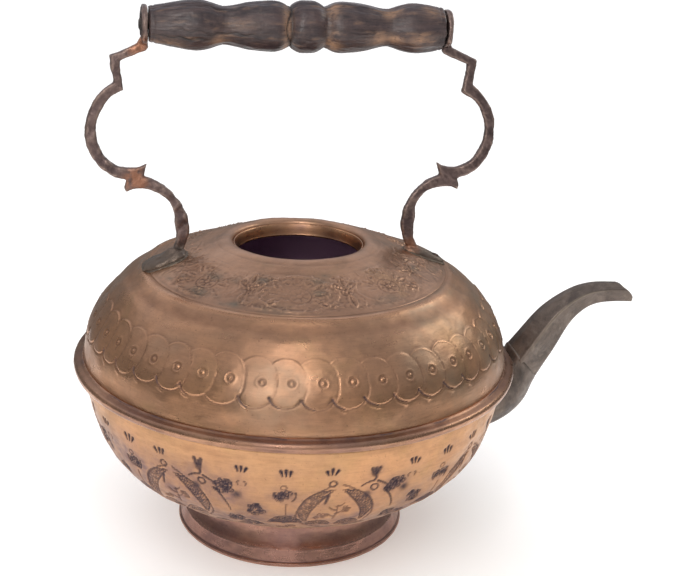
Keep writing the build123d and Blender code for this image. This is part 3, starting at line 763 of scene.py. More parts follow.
def tulip(band, x, y, size, rng):
    """Solid dark flower head on a short crooked stem with a chiselled branch at each side."""
    for u in (-1.7, 0.1, 1.9):
        top = (u * 1.2 + rng.normal(0, 0.3), 3.0 + rng.normal(0, 0.6))
        band.stroke(at(x, y, 0, size, top, (u * 0.4, -1.4)), 2.3 * size, 0.6, 1.0, 0.2)
    band.spot(x, y - 0.2, 2.1 * size, 0.35, 1.0)
    band.stroke(bent((x + 0.3, y - 1.5), (x + 1.6, y - 3.6), (x - 0.4, y - 5.4)), 1.8 * size, 0.5, 1.0, 0.3)
    band.stroke(bent((x - 0.4, y - 5.2), (x - 3.2, y - 5.4), (x - 6.4, y - 7.8)), 1.4, 0.5, 0.95, 0.4)
    band.stroke(bent((x + 2.0, y - 5.6), (x + 6.0, y - 7.4), (x + 9.2, y - 10.6)), 1.4, 0.5, 0.95, 0.3)


def stipple(band, x, y, wide, tall, angle, count, rng, patina=0.9):
    """Cluster of small ring punches within an oval, in a stained hollow."""
    for _ in range(count):
        rho, turn = math.sqrt(rng.uniform()), rng.uniform(0, TAU)
        (px, py), = at(x, y, angle, 1, (wide * rho * math.cos(turn), tall * rho * math.sin(turn)))
        band.ring(px, py, rng.uniform(0.8, 1.2), 0.75, 0.34, patina * rng.uniform(0.7, 1.1))
    band.spot(x, y, 1.1 * wide, 0.22, 0.22 * patina, tall / wide, angle)


def stippled_leaf(band, points, width, rng, patina=0.85):
    """Curved leaf filled with ring punches between two chisel lines."""
    p = walk(points, 1.5)
    direction = np.gradient(p, axis=0)
    direction /= np.linalg.norm(direction, axis=1)[:, None]
    side = np.stack([-direction[:, 1], direction[:, 0]], axis=1)
    share = np.linspace(0, 1, len(p))[:, None]
    half = width / 2 * np.sin(math.pi * np.clip(share, 0.04, 0.96)) ** 0.7
    band.stroke(p + side * half, 0.9, 0.42, patina)
    band.stroke(p - side * half, 0.9, 0.42, patina)
    for q, s, h in zip(p, side, half):
        for lane in np.arange(-h[0] + 0.9, h[0] - 0.6, 1.7):
            punch = q + s * (lane + rng.normal(0, 0.2)) + direction[0] * rng.normal(0, 0.2)
            band.ring(*punch, 0.72, 0.7, 0.3, patina * rng.uniform(0.5, 1))


def medallion(band, x, y, rng):
    """Drop-shaped medallion: bowed stippled leaves at its sides and foot, and a sprig inside."""
    for side in (-1, 1):
        outline = curve([(x + side * 2, y - 1), (x + side * 11, y - 6), (x + side * 19, y - 15),
                         (x + side * 21.5, y - 26), (x + side * 15.5, y - 36), (x + side * 4, y - 40)], 60)
        outline += rng.normal(0, 0.2, outline.shape)
        band.stroke(outline, 1.1, 0.40, 0.6)
        arc = curve([(x + side * 4, y - 5), (x + side * 12.5, y - 11), (x + side * 17.2, y - 20),
                     (x + side * 16.5, y - 30)], 40)
        stippled_leaf(band, arc, 7.4, rng, 1.0 if side > 0 else 0.8)
        stippled_leaf(band, curve([(x + side * 1.5, y - 35), (x + side * 8, y - 32.5),
                                   (x + side * 15.5, y - 34)], 20), 6.4, rng, 0.9)
    band.spot(x + 15.0, y - 9.0, 2.3, 0.3, 1.0)
    band.stroke([(x - 5.2, y - 8.0), (x - 6.4, y - 13.5)], 2.0, 0.45, 0.9, 0.3)
    band.stroke(bent((x - 0.6, y - 28), (x + 1.2, y - 21), (x + 0.4, y - 15)), 1.0, 0.4, 0.45, 0.3)
    for k, side in enumerate((-1, 1, -1, 1)):
        v = y - 25 + 2.8 * k
        tip = (x + side * 4.2, v + 3.0)
        band.stroke(bent((x, v), (x + side * 2.6, v + 0.6), tip), 1.6, 0.4, 0.5, 0.6)
    stipple(band, x + 4.5, y - 19.5, 3.2, 2.6, 0, 9, rng, 0.5)
    stipple(band, x - 7.5, y - 24.5, 3.4, 2.4, 0.4, 8, rng, 0.45)
    for side in (-1, 1):
        faint = bent((x + side * 2, y - 4), (x + side * 7, y - 5), (x + side * 10.5, y - 8.5))
        band.stroke(faint, 0.9, 0.3, 0.45, 0.3)


def small_sprig(band, x, y, rng, lean=0):
    """Stippled flower on a short stalk with a fan of leaves at its foot."""
    band.ring(x - 0.6, y + 5.6, 1.5, 0.8, 0.32, 0.6)
    stipple(band, x, y, 4.8, 3.3, 0.1, 20, rng, 1.1)
    for side in (-1, 1):
        side_leaf = bent((x + side * 5.4, y + 2), (x + side * 6.4, y - 1.8), (x + side * 3.4, y - 4))
        band.stroke(side_leaf, 1.3, 0.4, 0.9, 0.5)
    band.stroke([(x + lean, y - 6.0), (x + lean * 0.4, y - 15.5)], 0.9, 0.35, 0.5, 0.3)
    stippled_leaf(band, curve([(x - 9, y - 24), (x, y - 20.4), (x + 9, y - 24)], 20), 7.4, rng, 1.0)
    stipple(band, x, y - 22.0, 8.0, 3.0, 0, 20, rng, 0.9)


def bowl_ornament(band, rng):
    """Repeats of a drawing of generic tufts, tulips, medallions, flowers and stippled sprigs."""
    pitch = band.length / REPEATS
    mark = pitch / 4
    shift = (FRONT + math.radians(21.4)) / TAU * band.length  # a tulip right of the front
    for k in range(REPEATS):
        x = shift + k * pitch
        tulip(band, x, -13.5, 0.95, rng)
        band.ring(x + 0.8, -23.0, 2.0, 1.0, 0.45, 1.0)
        stipple(band, x + 12.5, -24.0, 5.8, 4.2, 0.35, 30, rng, 1.15)
        band.spot(x + 19.5, -28.0, 2.4, 0.35, 0.95)
        band.stroke(bent((x + 7.0, -26.0), (x + 13.0, -31.0), (x + 15.0, -41.0)), 1.3, 0.45, 1.0, 0.4)
        stipple(band, x + 16.5, -50.0, 5.0, 4.0, 0.2, 26, rng, 1.05)
        stipple(band, x + 25.5, -56.0, 6.2, 4.4, -0.1, 32, rng, 1.05)
        m = x + mark
        tuft(band, m, -11.2, 1.0, rng)
        for side in (-1, 1):
            turn = bent((m + side * 1.2, -18.6), (m + side * 3.4, -19.4), (m + side * 1.6, -21.4))
            band.stroke(turn, 1.0, 0.35, 0.7, 0.4)
        stipple(band, m + 6.5, -38.5, 5.0, 4.6, -0.4, 28, rng, 1.1)
        m = x + 2 * mark
        tuft(band, m, -11.5, 1.1, rng)
        small_sprig(band, m - 0.5, -26.5, rng, 0.8)
        m = x + 3 * mark
        tuft(band, m, -11.2, 1.0, rng)
        band.ring(m + 1.0, -18.5, 1.9, 0.9, 0.45, 0.95)
        medallion(band, m + 4.5, -18.5, rng)
        for _ in range(9):
            px, py = x + rng.uniform(-4, 86), rng.uniform(-61, -55)
            stippled_leaf(band, [(px, py), (px + rng.uniform(5, 9), py + rng.normal(0, 1))], 3.8, rng, 0.7)
    for y, depth in ((-63.0, 0.30), (-64.9, -0.25), (-66.8, 0.30)):
        band.line_round(y, depth, 0.35)
    dashes = REPEATS * 12
    for k in range(dashes):
        px = (k + rng.uniform(0.1, 0.9)) * band.length / dashes
        dash = [(px, -61.4), (px + rng.uniform(3, 9), -61.4 + rng.normal(0, 0.9))]
        band.stroke(dash, 1.1, 0.3, rng.uniform(0.4, 0.85))


def bowl():
    """Chased bowl with its flat base; the spout's root covers where its hole would be."""
    outer = np.vstack([[(SEAM_BOTTOM[0], 98.6)], curve(BOWL_SIDE, 600)])
    top_down = run_length(outer)
    zero = top_down[np.argmin(abs(outer[:, 1] - SEAM_BOTTOM[1]))]

    def spacing(point):
        return 0.8 if 37.5 < point[1] < 92 else 3.6

    rows = walk(outer, spacing)[::-1]  # upwards, as turned() wants
    y = zero - run_length(rows[::-1])[::-1]  # 0 at the seam, negative below it
    segments = BOWL_SEGMENTS
    band = Band(y, segments, BOWL_BAND_RADIUS)
    bowl_ornament(band, np.random.default_rng(29))
    phi = full_turn(segments)
    up = y[:, None]
    fade = smoothstep(0, -5, y)[:, None] * smoothstep(y.min(), y.min() + 25, y)[:, None]
    dents = waves(phi, up, 13, 45) * 0.15 + waves(phi, up, 14, 12) * 0.045 + waves(phi, up, 15, 5) * 0.012
    low = smoothstep(-18, -56, y)[:, None]
    drawn = np.where(band.height < 0, -CHASING_DEPTH * np.tanh(-band.height / CHASING_DEPTH), band.height)
    relief = (drawn + dents * (1 + 0.5 * low)) * fade
    halo = blurred(band.patina, 3.4, 4.6)
    cloud = np.clip(0.5 + 0.5 * waves(phi, up, 16, 30), 0, 1)
    darkened_side = smoothstep(0.25, 0.9, np.cos(phi - DARKENED_SIDE)) * (0.5 + 0.5 * cloud) * smoothstep(-4, -24, up)
    # stain round the chased marks; besides, the bowl is darkened towards its bottom and on one side
    band.stain = np.clip(halo * 1.25 + low * (0.22 + 0.46 * cloud) + darkened_side, 0, 0.9)
    band.patina *= fade
    inner = walk(curve([(r - SHEET * 1.2, z + SHEET * 0.9) for r, z in BOWL_SIDE], 100), 13.0)
    base, middle = BOWL_SIDE[-1][1], 0.01
    base_out = [(middle, base), (BASE_RADIUS, base)]
    base_in = [(BASE_RADIUS, base + SHEET), (middle, base + SHEET)]
    return shell("chased_bowl", rows, np.vstack([inner, base_in]), relief, 2.6, band, segments, [base_out])


# ---- seam, collar and foot ---------------------------------------------------------------------
def plain_ring(name, outline, segments, seed, wobble, spacing=0.5, patina=None, dark_within=None):
    """Turned ring with slightly uneven surface; patina is a function of (r, z, phi)."""
    rows = walk(np.vstack([outline, outline[:1]]), spacing)[:-1]
    phi = full_turn(segments)
    y = run_length(rows)[:, None]
    girth = TAU * rows[:, 0].mean()
    relief = waves(phi, y, seed, 50, girth) * wobble + waves(phi, y, seed + 1, 8, girth) * wobble * 0.35
    r = rows[:, :1] + 0 * phi
    z = rows[:, 1:] + 0 * phi
    dark = np.zeros(r.shape) if patina is None else patina(r, z, phi + 0 * r)
    n = normals_2d(rows)
    turning = np.cross(np.roll(n, 1, axis=0), np.roll(n, -1, axis=0))[:, None] + 0 * phi
    within = np.zeros(r.shape)
    if dark_within is not None:
        within = smoothstep(dark_within + 0.1, dark_within - 0.1, r)
    fields = {
        "hollow": np.clip(-turning * 1.4, 0, 1),
        "crest": np.clip(turning * 1.4, 0, 1),
        "patina": dark,
        "stain": 0.4 * np.clip(waves(phi, y, seed + 2, 40, girth), 0, 1),
        "inside": within,
    }
    return turned(name, rows, segments, relief, fields)


def folded_seam():
    """Strip folded over the flanges of bowl and dome, with dirt in its upper crack."""
    lip = [(124.2, 98.8), (124.75, 99.9), (125.0, 101.2), (124.8, 102.2), (124.2, 103.0), (123.6, 103.4)]
    upper_edge = [(121.2, 104.1), (120.2, 104.7), (119.7, 104.9), (119.2, 104.8), (118.9, 104.4)]
    outline = np.array([(118.6, 96.1)] + lip + upper_edge + [(118.9, 100.6), (118.0, 97.0)])

    def patina(r, z, phi):
        uneven = np.clip(0.20 + 0.75 * waves(phi, 0, 32, 16), 0, 1.1)
        crack = np.exp(-((r - 120.3 - 0.2 * waves(phi, 0, 31, 14)) / 0.4) ** 2) * (z > 103)
        slope = smoothstep(120.4, 121.2, r) * smoothstep(124.3, 123.0, r) * (z > 102)
        under = np.exp(-((z - 100.0) / 0.8) ** 2) * (r > 123) * 0.3
        return crack * uneven + slope * (0.16 + 0.14 * uneven) + under * uneven

    return plain_ring("folded_seam", outline, 900, 40, 0.05, 0.45, patina)


def collar():
    """Stepped ring soldered inside the mouth."""
    face = curve([(36.3, 168.1), (35.9, 168.3), (35.4, 167.6), (34.9, 165.8), (34.5, 163.4)], 28)
    lower_edge = [(34.3, 162.4), (34.1, 162.0), (34.15, 161.6), (34.5, 161.3)]
    outline = np.vstack([[(36.55, 161.5), (36.55, 167.4)], face, lower_edge])
    return plain_ring("mouth_ring", outline, 360, 50, 0.03, 0.35)


def foot():
    """Spun ring foot: rolled bead, flared band, step and hollow neck."""
    bead = [
        (64.8 + 1.3 * math.cos(a), 1.15 + 1.3 * math.sin(a)) for a in np.radians(np.arange(-60, 62, 12))
    ]
    outline = np.array(
        [(64.3, 0.0), (65.3, 0.0)]
        + [(r, max(z, 0.0)) for r, z in bead]
        + [(65.05, 2.45), (64.9, 2.75), (64.0, 5.4), (63.1, 8.0), (63.0, 8.5), (62.75, 8.95), (62.3, 9.45)]
        + [tuple(p) for p in curve([(61.9, 9.95), (59.6, 13.0), (57.8, 18.6), (58.8, 27.6)], 26)]
        + [(57.6, 27.2)]
        + [tuple(p) for p in curve([(56.6, 19.0), (58.0, 12.8), (60.4, 8.7)], 10)]
        + [(63.5, 2.2), (63.5, 0.6)]
    )

    def patina(r, z, phi):
        # the cove under the bowl is painted darker
        cove = smoothstep(9.6, 10.6, z) * smoothstep(26.0, 12.0, z) * (r > 57.4) * 0.24
        groove = np.exp(-((z - 2.55) / 0.22) ** 2) * (r > 64.4) * 0.9
        worn = 0.14 * np.clip(waves(phi, z, 61, 25), 0, 1) * (z < 9)
        return np.maximum(np.maximum(cove, groove), worn)

    return plain_ring("ring_foot_shell", outline, 760, 60, 0.06, 0.42, patina, 57.0)


# ---- spout ---------------------------------------------------------------------------------------
SIDE_STEPS = 8  # points along each flat side of a section
ROOT_SECTIONS = [  # top (x, z), bottom (x, z), half width
    (112.0, 93.2, 100.0, 47.0, 18.0),
    (125.3, 96.4, 131.0, 58.5, 16.5),
    (126.2, 98.6, 141.2, 69.8, 15.4),
    (127.6, 101.6, 145.5, 80.0, 14.3),
    (128.3, 102.8, 146.2, 81.6, 14.1),
    (128.8, 103.0, 146.1, 82.4, 13.5),
]
BEAK_SECTIONS = [
    (127.9, 101.2, 144.6, 80.6, 13.3),
    (134.8, 110.0, 152.0, 93.5, 12.4),
    (143.2, 120.8, 157.6, 103.4, 11.0),
    (151.6, 128.8, 163.6, 114.6, 9.7),
    (160.3, 134.6, 168.8, 121.0, 8.6),
    (169.2, 138.5, 175.0, 125.7, 7.6),
    (178.5, 140.2, 181.6, 127.9, 6.9),
    (187.9, 140.2, 189.0, 128.5, 6.4),
    (207.0, 139.4, 206.0, 127.9, 5.9),
]
MOUTH_CUT = ((190.5, 140.4), (203.4, 128.8))  # top and bottom (x, z) of the oblique mouth
TIP_BULGE = 1.9  # how far the mouth's cut bows outwards
TIP_ROUNDING = 1.6  # how far its lower lip is worn back
ROOT_FLARE = 1.6  # how far the root's foot spreads on the bowl
SPOUT_WALL = 1.2
SPOUT_DENT = 0.22  # unevenness left by the hammer


def hexagon(round_):
    """Six-sided section with rounded corners, as (across, up) from -1 to 1, and the painted highlight of
    its ridges.
    """
    corners = [(0.28, 1), (1, 0.5), (0.28, -1), (-0.28, -1), (-1, 0.5), (-0.28, 1)]
    points, ridge_highlight = [], []
    for before, corner, after in zip(corners[-1:] + corners[:-1], corners, corners[1:] + corners[:1]):
        c = np.array(corner)
        lead = c + (np.array(before) - c) * round_
        leave = c + (np.array(after) - c) * round_
        points += list(bent(lead, c, leave, 7))
        ridge_highlight += list(np.sin(np.linspace(0, math.pi, 7)) * (1.0 if abs(corner[0]) == 1 else 0.2))
        far = np.array(after) + (c - np.array(after)) * round_
        for t in np.linspace(0, 1, SIDE_STEPS + 2)[1:-1]:
            points.append(leave + (far - leave) * t)
            ridge_highlight.append(0.0)
    return np.array(points), np.array(ridge_highlight)


def section_points(section, shape, wall):
    """Places in space of a section drawn in by the wall."""
    top = np.array([section[0], 0, section[1]])
    low = np.array([section[2], 0, section[3]])
    half = np.linalg.norm(top - low) / 2
    up = (top - low) / (2 * half)
    middle = (top + low) / 2
    across = shape[:, :1] * (section[4] - wall) * np.array([[0, 1, 0]])
    return middle + across + shape[:, 1:] * (half - wall) * up


def bowl_radius(z):
    """Outer radius of the plain bowl at a height."""
    side = curve(BOWL_SIDE, 300)[::-1]
    return np.interp(z, side[:, 1], side[:, 0])


def outwards(loops):
    """Unit vectors from the middle of each loop to its points."""
    out = loops - loops.mean(axis=1, keepdims=True)
    return out / np.linalg.norm(out, axis=2)[:, :, None]


def dented(loops, seed):
    """Loops with the slow unevenness that a hammer leaves."""
    ways = np.random.default_rng(seed).normal(0, 1, (6, 3))
    hand = sum(np.sin(loops @ way * 0.16 + i)[:, :, None] for i, way in enumerate(ways)) / 6
    return loops + outwards(loops) * hand * SPOUT_DENT


def lofted(name, sections, shape, ridge_highlight, steps, flare, cut=None, seed=70, end_shape=None):
    """Tube through sections with an inner wall. It can start on the bowl and end at a cut."""
    path = curve(sections, steps)
    last = shape if end_shape is None else end_shape
    blend = smoothstep(0.3, 1.0, np.linspace(0, 1, len(path)))
    shapes = [shape * (1 - t) + last * t for t in blend]
    loops = np.array([section_points(s, q, 0) for s, q in zip(path, shapes)])
    inner = np.array([section_points(s, q, SPOUT_WALL) for s, q in zip(path, shapes)])
    if flare:
        loops = started_on_bowl(loops)
        inner = started_on_bowl(inner)
        near = np.exp(-np.arange(len(path)) / 1.6)[:, None, None]
        loops = loops + outwards(loops) * near * ROOT_FLARE
    if cut is not None:
        loops = stopped_at_cut(loops, cut, 0.0)
        inner = stopped_at_cut(inner, cut, -0.05)
    loops = dented(loops, seed)
    grid = np.vstack([loops, inner[::-1]])
    rows, columns = grid.shape[:2]
    crest = np.zeros((rows, columns))
    # painted highlight: pale along the side ridges, brightest halfway along the tube, and pale on the end
    # edge
    middle = np.sin(math.pi * np.linspace(0, 1, len(loops)))[:, None]
    crest[:len(loops)] = ridge_highlight[None, :] * (0.15 + 0.85 * middle)
    crest[len(loops) - 1] = 0.6
    # the inner wall counts as a hollow and is painted darker: painted shade inside the tube
    within = np.zeros((rows, columns))
    within[len(loops) + 1:] = 1
    fields = {"crest": crest, "hollow": within, "worn": np.zeros((rows, columns))}
    return make_mesh(name, grid.reshape(-1, 3), grid_faces(rows, columns), fields)


def started_on_bowl(loops):
    """Each long line of the tube runs from where it leaves the bowl's surface."""
    count = len(loops)
    result = loops.copy()
    for j in range(loops.shape[1]):
        fine_t = np.linspace(0, count - 1, 600)
        fine = between(fine_t, np.arange(count), loops[:, j])
        clear = np.hypot(fine[:, 0], fine[:, 1]) - bowl_radius(fine[:, 2])
        inside = np.nonzero(clear < 0)[0]
        first = inside[-1] if len(inside) else 0
        keep = np.linspace(fine_t[first], count - 1, count)
        result[:, j] = between(keep, fine_t, fine)
    return result


def stopped_at_cut(loops, cut, offset):
    """Each long line of the tube ends on the oblique mouth, which bulges a little outwards."""
    (ax, az), (bx, bz) = cut
    chord = np.array([bx - ax, 0, bz - az], float)
    length = np.linalg.norm(chord)
    chord /= length
    normal = np.array([-chord[2], 0, chord[0]])
    count = len(loops)
    result = loops.copy()
    for j in range(loops.shape[1]):
        line = loops[:, j]
        from_top = line - np.array([ax, 0, az])
        share = np.clip(from_top @ chord / length, 0, 1)
        bulge = TIP_BULGE * 4 * share * (1 - share) - TIP_ROUNDING * smoothstep(0.75, 1, share) ** 2
        side = from_top @ normal - offset - bulge
        beyond = np.nonzero(side > 0)[0]
        if len(beyond) == 0:
            continue
        k = max(beyond[0], 1)
        share = -side[k - 1] / (side[k] - side[k - 1])
        keep = np.linspace(0, k - 1 + share, count)
        result[:, j] = between(keep, np.arange(count), line)
    return result


def spout_root():
    shape, ridge_highlight = hexagon(0.42)
    angle = np.arctan2(shape[:, 1], shape[:, 0])
    oval = np.stack([np.cos(angle), np.sin(angle)], axis=1)
    start, end = oval * 0.86 + shape * 0.14, oval * 0.25 + shape * 0.75
    return lofted("spout_root_tube", ROOT_SECTIONS, start, ridge_highlight * 0.15, 44, True, end_shape=end)


def spout_beak():
    shape, ridge_highlight = hexagon(0.13)
    return lofted("spout_beak_tube", BEAK_SECTIONS, shape, ridge_highlight, 110, False, MOUTH_CUT, 71)


# ---- handle ----------------------------------------------------------------------------------------
GRIP_HEIGHT = 287.2
EYE_INNER = 79.3
FOOT_REACH = (60.6, 86.0)
FOOT_MIDDLE = sum(FOOT_REACH) / 2
FOOT_LENGTH = (FOOT_REACH[1] - FOOT_REACH[0]) * math.hypot(1, SHOULDER_SLOPE)  # down the slope
SIDE_NAMES = {-1: "rear", 1: "front"}
PAD_WIDTH = {-1: 19.0, 1: 12.0}
ARM_FOOT_HEIGHT = {-1: 4.6, 1: 3.4}
ARM_WEAR = {  # orange places of each arm: (u, z, radius, strength)
    -1: [(86.5, 205.0, 7.0, 0.7), (84.0, 276.5, 6.0, 0.75)],
    1: [(66.0, 166.0, 5.0, 0.55)],
}
EYE_SIDES = 48


def placed(side, u, z):
    """Point of the handle's plane: u is its distance from the handle's middle on one side."""
    share = min(max((z - 170.0) / 45.0, 0), 1)
    return side * u - 1.0 - 2.6 * share, z


def arc3(a, b, c, count=14):
    """Points of the circle arc from a through b to c."""
    a, b, c = (np.array(q, float) for q in (a, b, c))
    system = 2 * np.array([b - a, c - a])
    centre = np.linalg.solve(system, np.array([b @ b - a @ a, c @ c - a @ a]))
    radius = np.linalg.norm(a - centre)
    start, mid, end = (math.atan2(*(q - centre)[::-1]) for q in (a, b, c))
    sweep = (end - start) % TAU
    if (mid - start) % TAU > sweep:
        sweep -= TAU
    turn = start + np.linspace(0, 1, count) * sweep
    return [(centre[0] + radius * math.cos(t), centre[1] + radius * math.sin(t)) for t in turn]


def arm_outline(side):
    """Closed outline of one scrolled arm in the handle's plane."""
    runs = [
        [(82.3, 290), (82.3, 281), (84.8, 276.9), (99.0, 271.0), (97.4, 258.2)],
        arc3((97.2, 257.0), (107.4, 247.2), (111.9, 232.0)),
        arc3((111.9, 232.0), (107.6, 214.8), (91.8, 204.6))[1:],
        [(93.0, 200.4)],
        arc3((92.2, 197.6), (84.8, 199.8), (77.0, 198.2)),
        arc3((77.0, 198.2), (70.2, 193.0), (67.4, 182.0))[1:],
        [(66.7, 170.0), (70.0, 162.8), (64.0, 164.6)],
        arc3((62.4, 166.0), (59.7, 174.6), (61.1, 186.0)),
        arc3((61.1, 186.0), (68.4, 198.2), (81.9, 206.4))[1:],
        [(80.6, 210.5)],
        arc3((79.8, 213.9), (90.0, 210.9), (99.6, 214.2)),
        arc3((99.6, 214.2), (106.5, 232.0), (97.5, 249.9))[1:],
        [(91.8, 253.0), (93.8, 268.5), (80.0, 273.7), (78.8, 275.2), (79.3, 281.0), (79.3, 290)],
    ]
    return [placed(side, u, z) for run in runs for u, z in run]


def bevelled_prism(bm, outline, depth, bevel):
    """Flat outline in the plane y = 0 given a depth along Y, with bevelled edges."""
    front = [bm.verts.new((x, -depth / 2, z)) for x, z in outline]
    face = bm.faces.new(front)
    made = bmesh.ops.extrude_face_region(bm, geom=[face])
    moved = [v for v in made["geom"] if isinstance(v, bmesh.types.BMVert)]
    bmesh.ops.translate(bm, verts=moved, vec=(0, depth, 0))
    bm.normal_update()
    rims = [e for e in bm.edges if len({round(v.co.y, 3) for v in e.verts}) == 1]
    bmesh.ops.bevel(bm, geom=rims, offset=bevel, segments=3, profile=0.5, affect="EDGES")


def disc_into(bm, centre, axis_x, radius, thickness, bulge):
    """Round plate with its flat sides facing along X, slightly domed outwards."""
    rings = [(0.0, bulge), (0.45, bulge * 0.85), (0.8, bulge * 0.4), (0.95, 0), (1.0, -0.35)]
    layers = [(r * radius, thickness / 2 + h) for r, h in rings]
    layers += [(r, -h) for r, h in layers[::-1]]
    loops = []
    for r, h in layers:
        if r == 0:
            loops.append([bm.verts.new((centre[0] + axis_x * h, centre[1], centre[2]))])
            continue
        loops.append([
            bm.verts.new((centre[0] + axis_x * h, centre[1] + r * math.cos(a), centre[2] + r * math.sin(a)))
            for a in np.arange(EYE_SIDES) * TAU / EYE_SIDES
        ])
    for low, high in zip(loops, loops[1:]):
        for i in range(EYE_SIDES):
            j = (i + 1) % EYE_SIDES
            if len(low) == 1:
                bm.faces.new((low[0], high[i], high[j]))
            elif len(high) == 1:
                bm.faces.new((low[i], high[0], low[j]))
            else:
                bm.faces.new((low[i], high[i], high[j], low[j]))


def shoulder_matrix(side, station, lift):
    """Frame on the sloping shoulder: x runs outwards down the slope, z stands off it."""
    x = side * station - 1.0
    z = CREASE[1] + (CREASE[0] - abs(x)) * SHOULDER_SLOPE
    tilt = math.atan(SHOULDER_SLOPE)
    return (
        Matrix.Translation((x, 0, z))
        @ Matrix.Rotation(side * tilt, 4, "Y")
        @ Matrix.Translation((0, 0, lift))
    )


def mound_into(bm, matrix, length, width, height, seed):
    """Low lumpy cushion of beaten metal on the shoulder, round at its ends."""
    rng = np.random.default_rng(seed)
    lumps = [(rng.uniform(-0.9, 0.9), rng.uniform(-0.7, 0.7), rng.uniform(0.2, 0.4)) for _ in range(9)]
    part = bmesh.new()
    bmesh.ops.create_uvsphere(part, u_segments=56, v_segments=28, radius=1.0)
    for vertex in part.verts:
        x, y, z = vertex.co
        square = (abs(x) ** 3 + abs(y) ** 3 + abs(z) ** 3 + 1e-9) ** (1 / 3)
        x, y, z = x / square, y / square, z / square
        lump = sum(math.exp(-((x - u) ** 2 + (y - v) ** 2) / w ** 2) for u, v, w in lumps)
        rise = height * (0.86 + 0.16 * lump) if z > 0 else 1.2
        vertex.co = (x * length / 2, y * width / 2 * (1 + 0.05 * math.sin(5 * x + seed)), z * rise)
    bmesh.ops.transform(part, matrix=matrix, verts=part.verts)
    mesh = bpy.data.meshes.new("part")
    part.to_mesh(mesh)
    part.free()
    bm.from_mesh(mesh)
    bpy.data.meshes.remove(mesh)


def skinned(name, bm, voxel, rounds):
    """Joins the overlapping solids of a bmesh into one softened skin."""
    bmesh.ops.recalc_face_normals(bm, faces=bm.faces)
    mesh = bpy.data.meshes.new(name)
    bm.to_mesh(mesh)
    bm.free()
    mesh.transform(Matrix.Scale(MM, 4))
    piece = bpy.data.objects.new(name, mesh)
    bpy.context.scene.collection.objects.link(piece)
    remesh = piece.modifiers.new("skin", "REMESH")
    remesh.mode = "VOXEL"
    remesh.voxel_size = voxel * MM
    relax = piece.modifiers.new("relax", "SMOOTH")
    relax.factor = 0.5
    relax.iterations = rounds
    graph = bpy.context.evaluated_depsgraph_get()
    final = bpy.data.meshes.new_from_object(piece.evaluated_get(graph))
    piece.modifiers.clear()
    piece.data = final
    bpy.data.meshes.remove(mesh)
    final.name = name
    return piece


def read(items, key, width, kind=float):
    """A mesh's values as the rows of an array."""
    values = np.zeros(len(items) * width, kind)
    items.foreach_get(key, values)
    return values.reshape(-1, width)


def hammering(co, seed):
    """Height of irregular hammer marks at each place."""
    rng = np.random.default_rng(seed)
    push = np.zeros(len(co))
    for scale, size in ((0.35, 1.0), (0.75, 0.5), (1.5, 0.28)):
        for _ in range(7):
            way = rng.normal(0, scale, 3)
            push += size * np.sin(co @ way + rng.uniform(0, TAU)) / 3.2
    return push


def edge_curl(co, normal, edges, voxel):
    """How far each vertex stands out from its neighbours: over 0 on edges, under 0 in hollows."""
    total = np.zeros_like(co)
    links = np.zeros(len(co))
    for a, b in ((0, 1), (1, 0)):
        np.add.at(total, edges[:, a], co[edges[:, b]])
        np.add.at(links, edges[:, a], 1)
    lean = total / np.maximum(links, 1)[:, None] - co
    curl = -(lean * normal).sum(axis=1) / voxel
    for _ in range(4):
        mean = np.zeros(len(co))
        np.add.at(mean, edges[:, 0], curl[edges[:, 1]])
        np.add.at(mean, edges[:, 1], curl[edges[:, 0]])
        curl = 0.5 * curl + 0.5 * mean / np.maximum(links, 1)
    return curl


def fused(name, bm, voxel, rounds, hammer, seed, worn_spots):
    """One hammered skin over some solids, with its edges, hollows and wear marked."""
    piece = skinned(name, bm, voxel, rounds)
    final = piece.data
    co = read(final.vertices, "co", 3) / MM
    normal = read(final.vertices, "normal", 3)
    co = co + normal * (hammering(co, seed) * hammer)[:, None]
    curl = edge_curl(co, normal, read(final.edges, "vertices", 2, int), voxel)
    worn = np.zeros(len(co))
    for x, z, radius, strength in worn_spots:
        far = np.hypot(co[:, 0] - x, co[:, 2] - z)
        worn = np.maximum(worn, strength * np.exp(-(far / radius) ** 4))
    final.vertices.foreach_set("co", (co * MM).ravel())
    fields = {
        "crest": np.clip(curl * 9, 0, 1),
        "hollow": np.clip(-curl * 9, 0, 1),
        "worn": worn,
        "fouled": smoothstep(172, 163, co[:, 2]),
    }
    add_fields(final, fields)
    final.polygons.foreach_set("use_smooth", np.full(len(final.polygons), True))
    final.update()
    return piece


def arm(side):
    """Scrolled arm with its eye plate and its beaten foot."""
    bm = bmesh.new()
    bevelled_prism(bm, arm_outline(side), 4.0, 1.0)
    eye_x = placed(side, EYE_INNER + 1.5, GRIP_HEIGHT)[0]
    disc_into(bm, (eye_x, 0, GRIP_HEIGHT), side, 10.4, 2.9, 0.25)
    matrix = shoulder_matrix(side, FOOT_MIDDLE, 0.2)
    mound_into(bm, matrix, FOOT_LENGTH - 1.6, PAD_WIDTH[side] - 2.0, ARM_FOOT_HEIGHT[side], 85 + side)
    spots = [(*placed(side, u, z), radius, strength) for u, z, radius, strength in ARM_WEAR[side]]
    return fused(f"{SIDE_NAMES[side]}_scroll_arm", bm, 0.55, 3, 0.26, 80 + side, spots)


def pad(side):
    """Oval plate under an arm's foot."""
    bm = bmesh.new()
    matrix = shoulder_matrix(side, FOOT_MIDDLE, -0.9)
    mound_into(bm, matrix, FOOT_LENGTH + 1.0, PAD_WIDTH[side] + 0.8, 2.6, 95 + side)
    return fused(f"{SIDE_NAMES[side]}_shoulder_pad", bm, 0.5, 2, 0.3, 90 + side, [])


